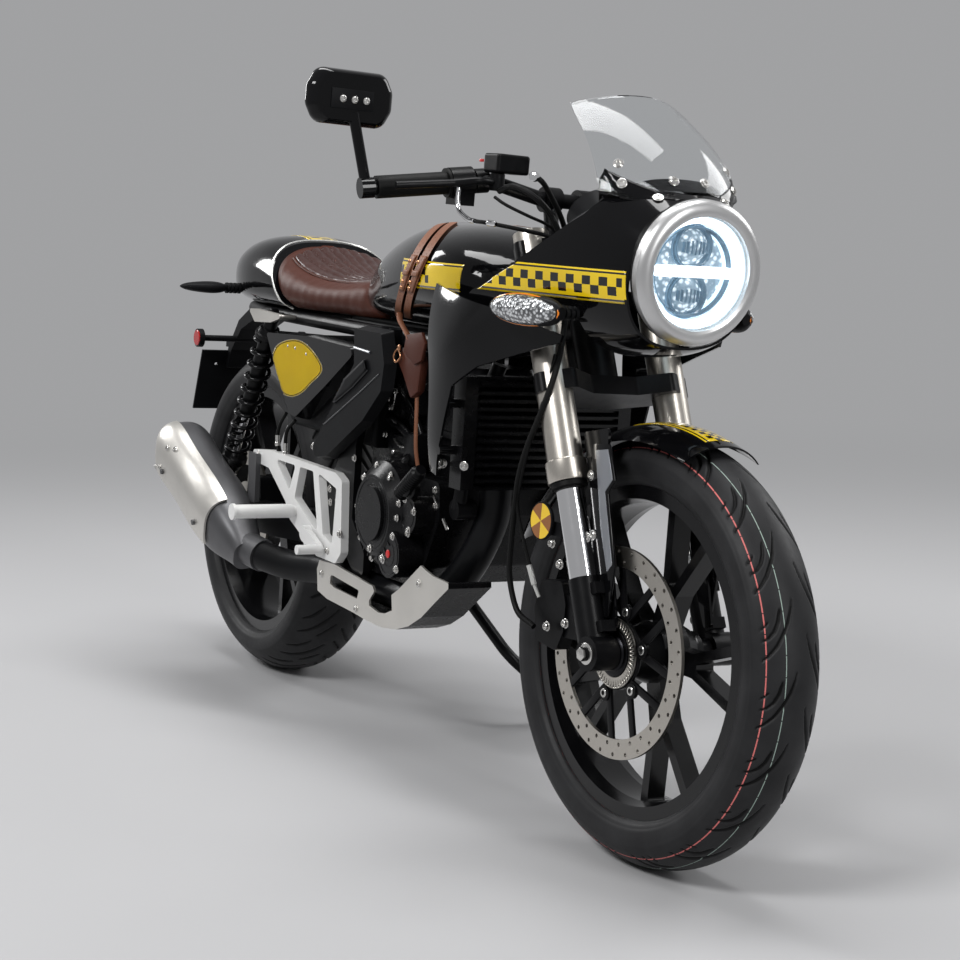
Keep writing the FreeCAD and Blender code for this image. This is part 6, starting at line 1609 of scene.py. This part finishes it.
# Bars: throttle elbow, cables, levers' fittings and switch
def bar_fittings():
    silver = Solid()
    elbow = [(977, -201, 922), (978, -202, 906), (986, -202, 889), (1012, -202, 878), (1030, -202, 876)]
    silver.tube(elbow, 3.6, 14)
    silver.turned((1066, -204, 875), (0.95, 0.3, -0.05), [(0, 3.0), (2, 4.4), (14, 4.4), (16, 2.8)], 16)
    nut = [(-6, 5.2), (-2, 5.2), (0, 7.0), (7, 7.0), (8, 5), (8, 0.0)]
    silver.turned((1108, -158, 944), (0.5, -0.85, 0.1), nut, 24)
    silver.make("bar_fittings", "fork", "chrome", "chrome")


BAR_CABLES = (
    (3.0, 12, [
        (1028, -202, 876), (1058, -200, 875), (1078, -178, 872), (1080, -140, 868), (1066, -100, 864),
        (1040, -64, 858), (1020, -44, 850),
    ]),
    (2.4, 10, [
        (1051, -186, 912), (1068, -176, 902), (1076, -144, 890), (1068, -104, 880), (1044, -66, 868),
        (1024, -40, 854),
    ]),
    (4.0, 12, [
        (1110, -158, 944), (1112, -146, 936), (1096, -118, 916), (1074, -88, 896), (1052, -62, 874),
        (1034, -50, 852),
    ]),
)
bar_fittings()
cables = Solid()
for radius, segments, path in BAR_CABLES:
    cables.tube(path, radius, segments)
cables.make("bar_cables", "fork", "rubber", "rubber")
Solid().box((1028, -198, 962), (3.5, 2, 2), None, 0.8).make("stop_switch", "fork", "red_lens", "red_paint")


# Camera at the photograph's angle
def aim_camera():
    yaw, pitch, roll = math.radians(151.6), math.radians(-9.45), math.radians(-0.4)
    level = math.cos(pitch)
    ahead = Vector((level * math.cos(yaw), level * math.sin(yaw), math.sin(pitch)))
    right = ahead.cross(Z).normalized()
    up = right.cross(ahead)
    turned_right = right * math.cos(roll) + up * math.sin(roll)
    turned_up = up * math.cos(roll) - right * math.sin(roll)
    place = Vector((3741.09 + ORIGIN_X, -1582.65 + ORIGIN_Y, 1032.94)) * MM
    data = bpy.data.cameras.new("camera")
    camera = bpy.data.objects.new("camera", data)
    bpy.context.scene.collection.objects.link(camera)
    basis = Matrix((turned_right, turned_up, -ahead)).transposed().to_4x4()
    camera.matrix_world = Matrix.Translation(place) @ basis
    sensor_mm, picture_pixels, focal_pixels = 36, 960, 2150.3
    data.sensor_width = sensor_mm
    data.lens = focal_pixels / picture_pixels * sensor_mm
    data.clip_start, data.clip_end = 0.05, 60
    bpy.context.scene.camera = camera


FLOOR_COLOUR = (0.43, 0.43, 0.437)
BACKDROP_COLOUR = (0.355, 0.357, 0.364)
FILL_COLOUR = (0.16, 0.16, 0.165)


def studio_floor(half=30.0):
    """A plain floor that fades into the backdrop's grey far from the bike."""
    mesh = bpy.data.meshes.new("floor")
    corners = [(-half, -half, 0), (half, -half, 0), (half, half, 0), (-half, half, 0)]
    mesh.from_pydata(corners, [], [(0, 1, 2, 3)])
    obj = bpy.data.objects.new("floor", mesh)
    bpy.context.scene.collection.objects.link(obj)
    n = Nodes("floor")
    paint = n.ramp(n.noise(1.2, 2.0), (0.3, scaled(FLOOR_COLOUR, 0.985)), (0.7, FLOOR_COLOUR))
    n.set(Base_Color=paint, Specular_IOR_Level=0.2)
    n.rough(n.noise(3.0, 3.0), 0.6, 0.7)
    length = n.add("VectorMath", operation="LENGTH")
    n.plug(n.coords.outputs["Object"], length.inputs[0])
    values = {"From Min": 1.1, "From Max": 4.2, "Value": length.outputs["Value"]}
    far = n.add("MapRange", interpolation_type="SMOOTHSTEP", **values)
    glow = n.add("Emission", Color=BACKDROP_COLOUR, Strength=1.0)
    blend = n.add("MixShader")
    for index, output in enumerate((far.outputs["Result"], n.shader.outputs[0], glow.outputs[0])):
        n.plug(output, blend.inputs[index])
    n.plug(blend.outputs[0], n.tree.nodes["Material Output"].inputs["Surface"])
    mesh.materials.append(n.material)


def studio_world():
    """Backdrop grey where it is seen, mirrored or looked through to, and a dimmer fill elsewhere."""
    world = bpy.data.worlds.new("studio")
    world.use_nodes = True
    bpy.context.scene.world = world
    tree = world.node_tree
    path = tree.nodes.new("ShaderNodeLightPath")
    seen = path.outputs["Is Camera Ray"]
    for kind in ("Is Glossy Ray", "Is Transmission Ray"):
        either = tree.nodes.new("ShaderNodeMath")
        either.operation = "MAXIMUM"
        tree.links.new(seen, either.inputs[0])
        tree.links.new(path.outputs[kind], either.inputs[1])
        seen = either.outputs[0]
    mix = tree.nodes.new("ShaderNodeMix")
    mix.data_type = "RGBA"
    tree.links.new(seen, mix.inputs[0])
    mix.inputs[6].default_value = (*FILL_COLOUR, 1)
    mix.inputs[7].default_value = (*BACKDROP_COLOUR, 1)
    tree.links.new(mix.outputs[2], tree.nodes["Background"].inputs["Color"])


def studio_lamps():
    """Large soft lamps: place and target in metres, size, power."""
    for name, place, target, size, power in (
        ("key", (1.2, -3.2, 3.4), (0.1, 0, 0.5), (1.6, 0.9), 125),
        ("front", (4.2, 0.6, 2.2), (0.4, 0, 0.5), (0.5, 2.4), 55),
        ("top", (-0.2, 0.3, 3.8), (0, 0, 0.4), (3.0, 0.9), 95),
        ("rear", (-3.4, -1.4, 2.2), (-0.3, 0, 0.5), (0.7, 2.0), 55),
        ("left", (0.4, 3.6, 2.4), (0, 0, 0.5), (2.4, 1.4), 55),
    ):
        data = bpy.data.lights.new(name, "AREA")
        data.shape = "RECTANGLE"
        data.size, data.size_y = size
        data.energy = power
        obj = bpy.data.objects.new(name, data)
        bpy.context.scene.collection.objects.link(obj)
        obj.location = place
        obj.rotation_mode = "QUATERNION"
        obj.rotation_quaternion = (Vector(target) - Vector(place)).to_track_quat("-Z", "Y")


aim_camera()
studio_floor()
studio_world()
studio_lamps()
bpy.context.scene.view_settings.view_transform = "Standard"
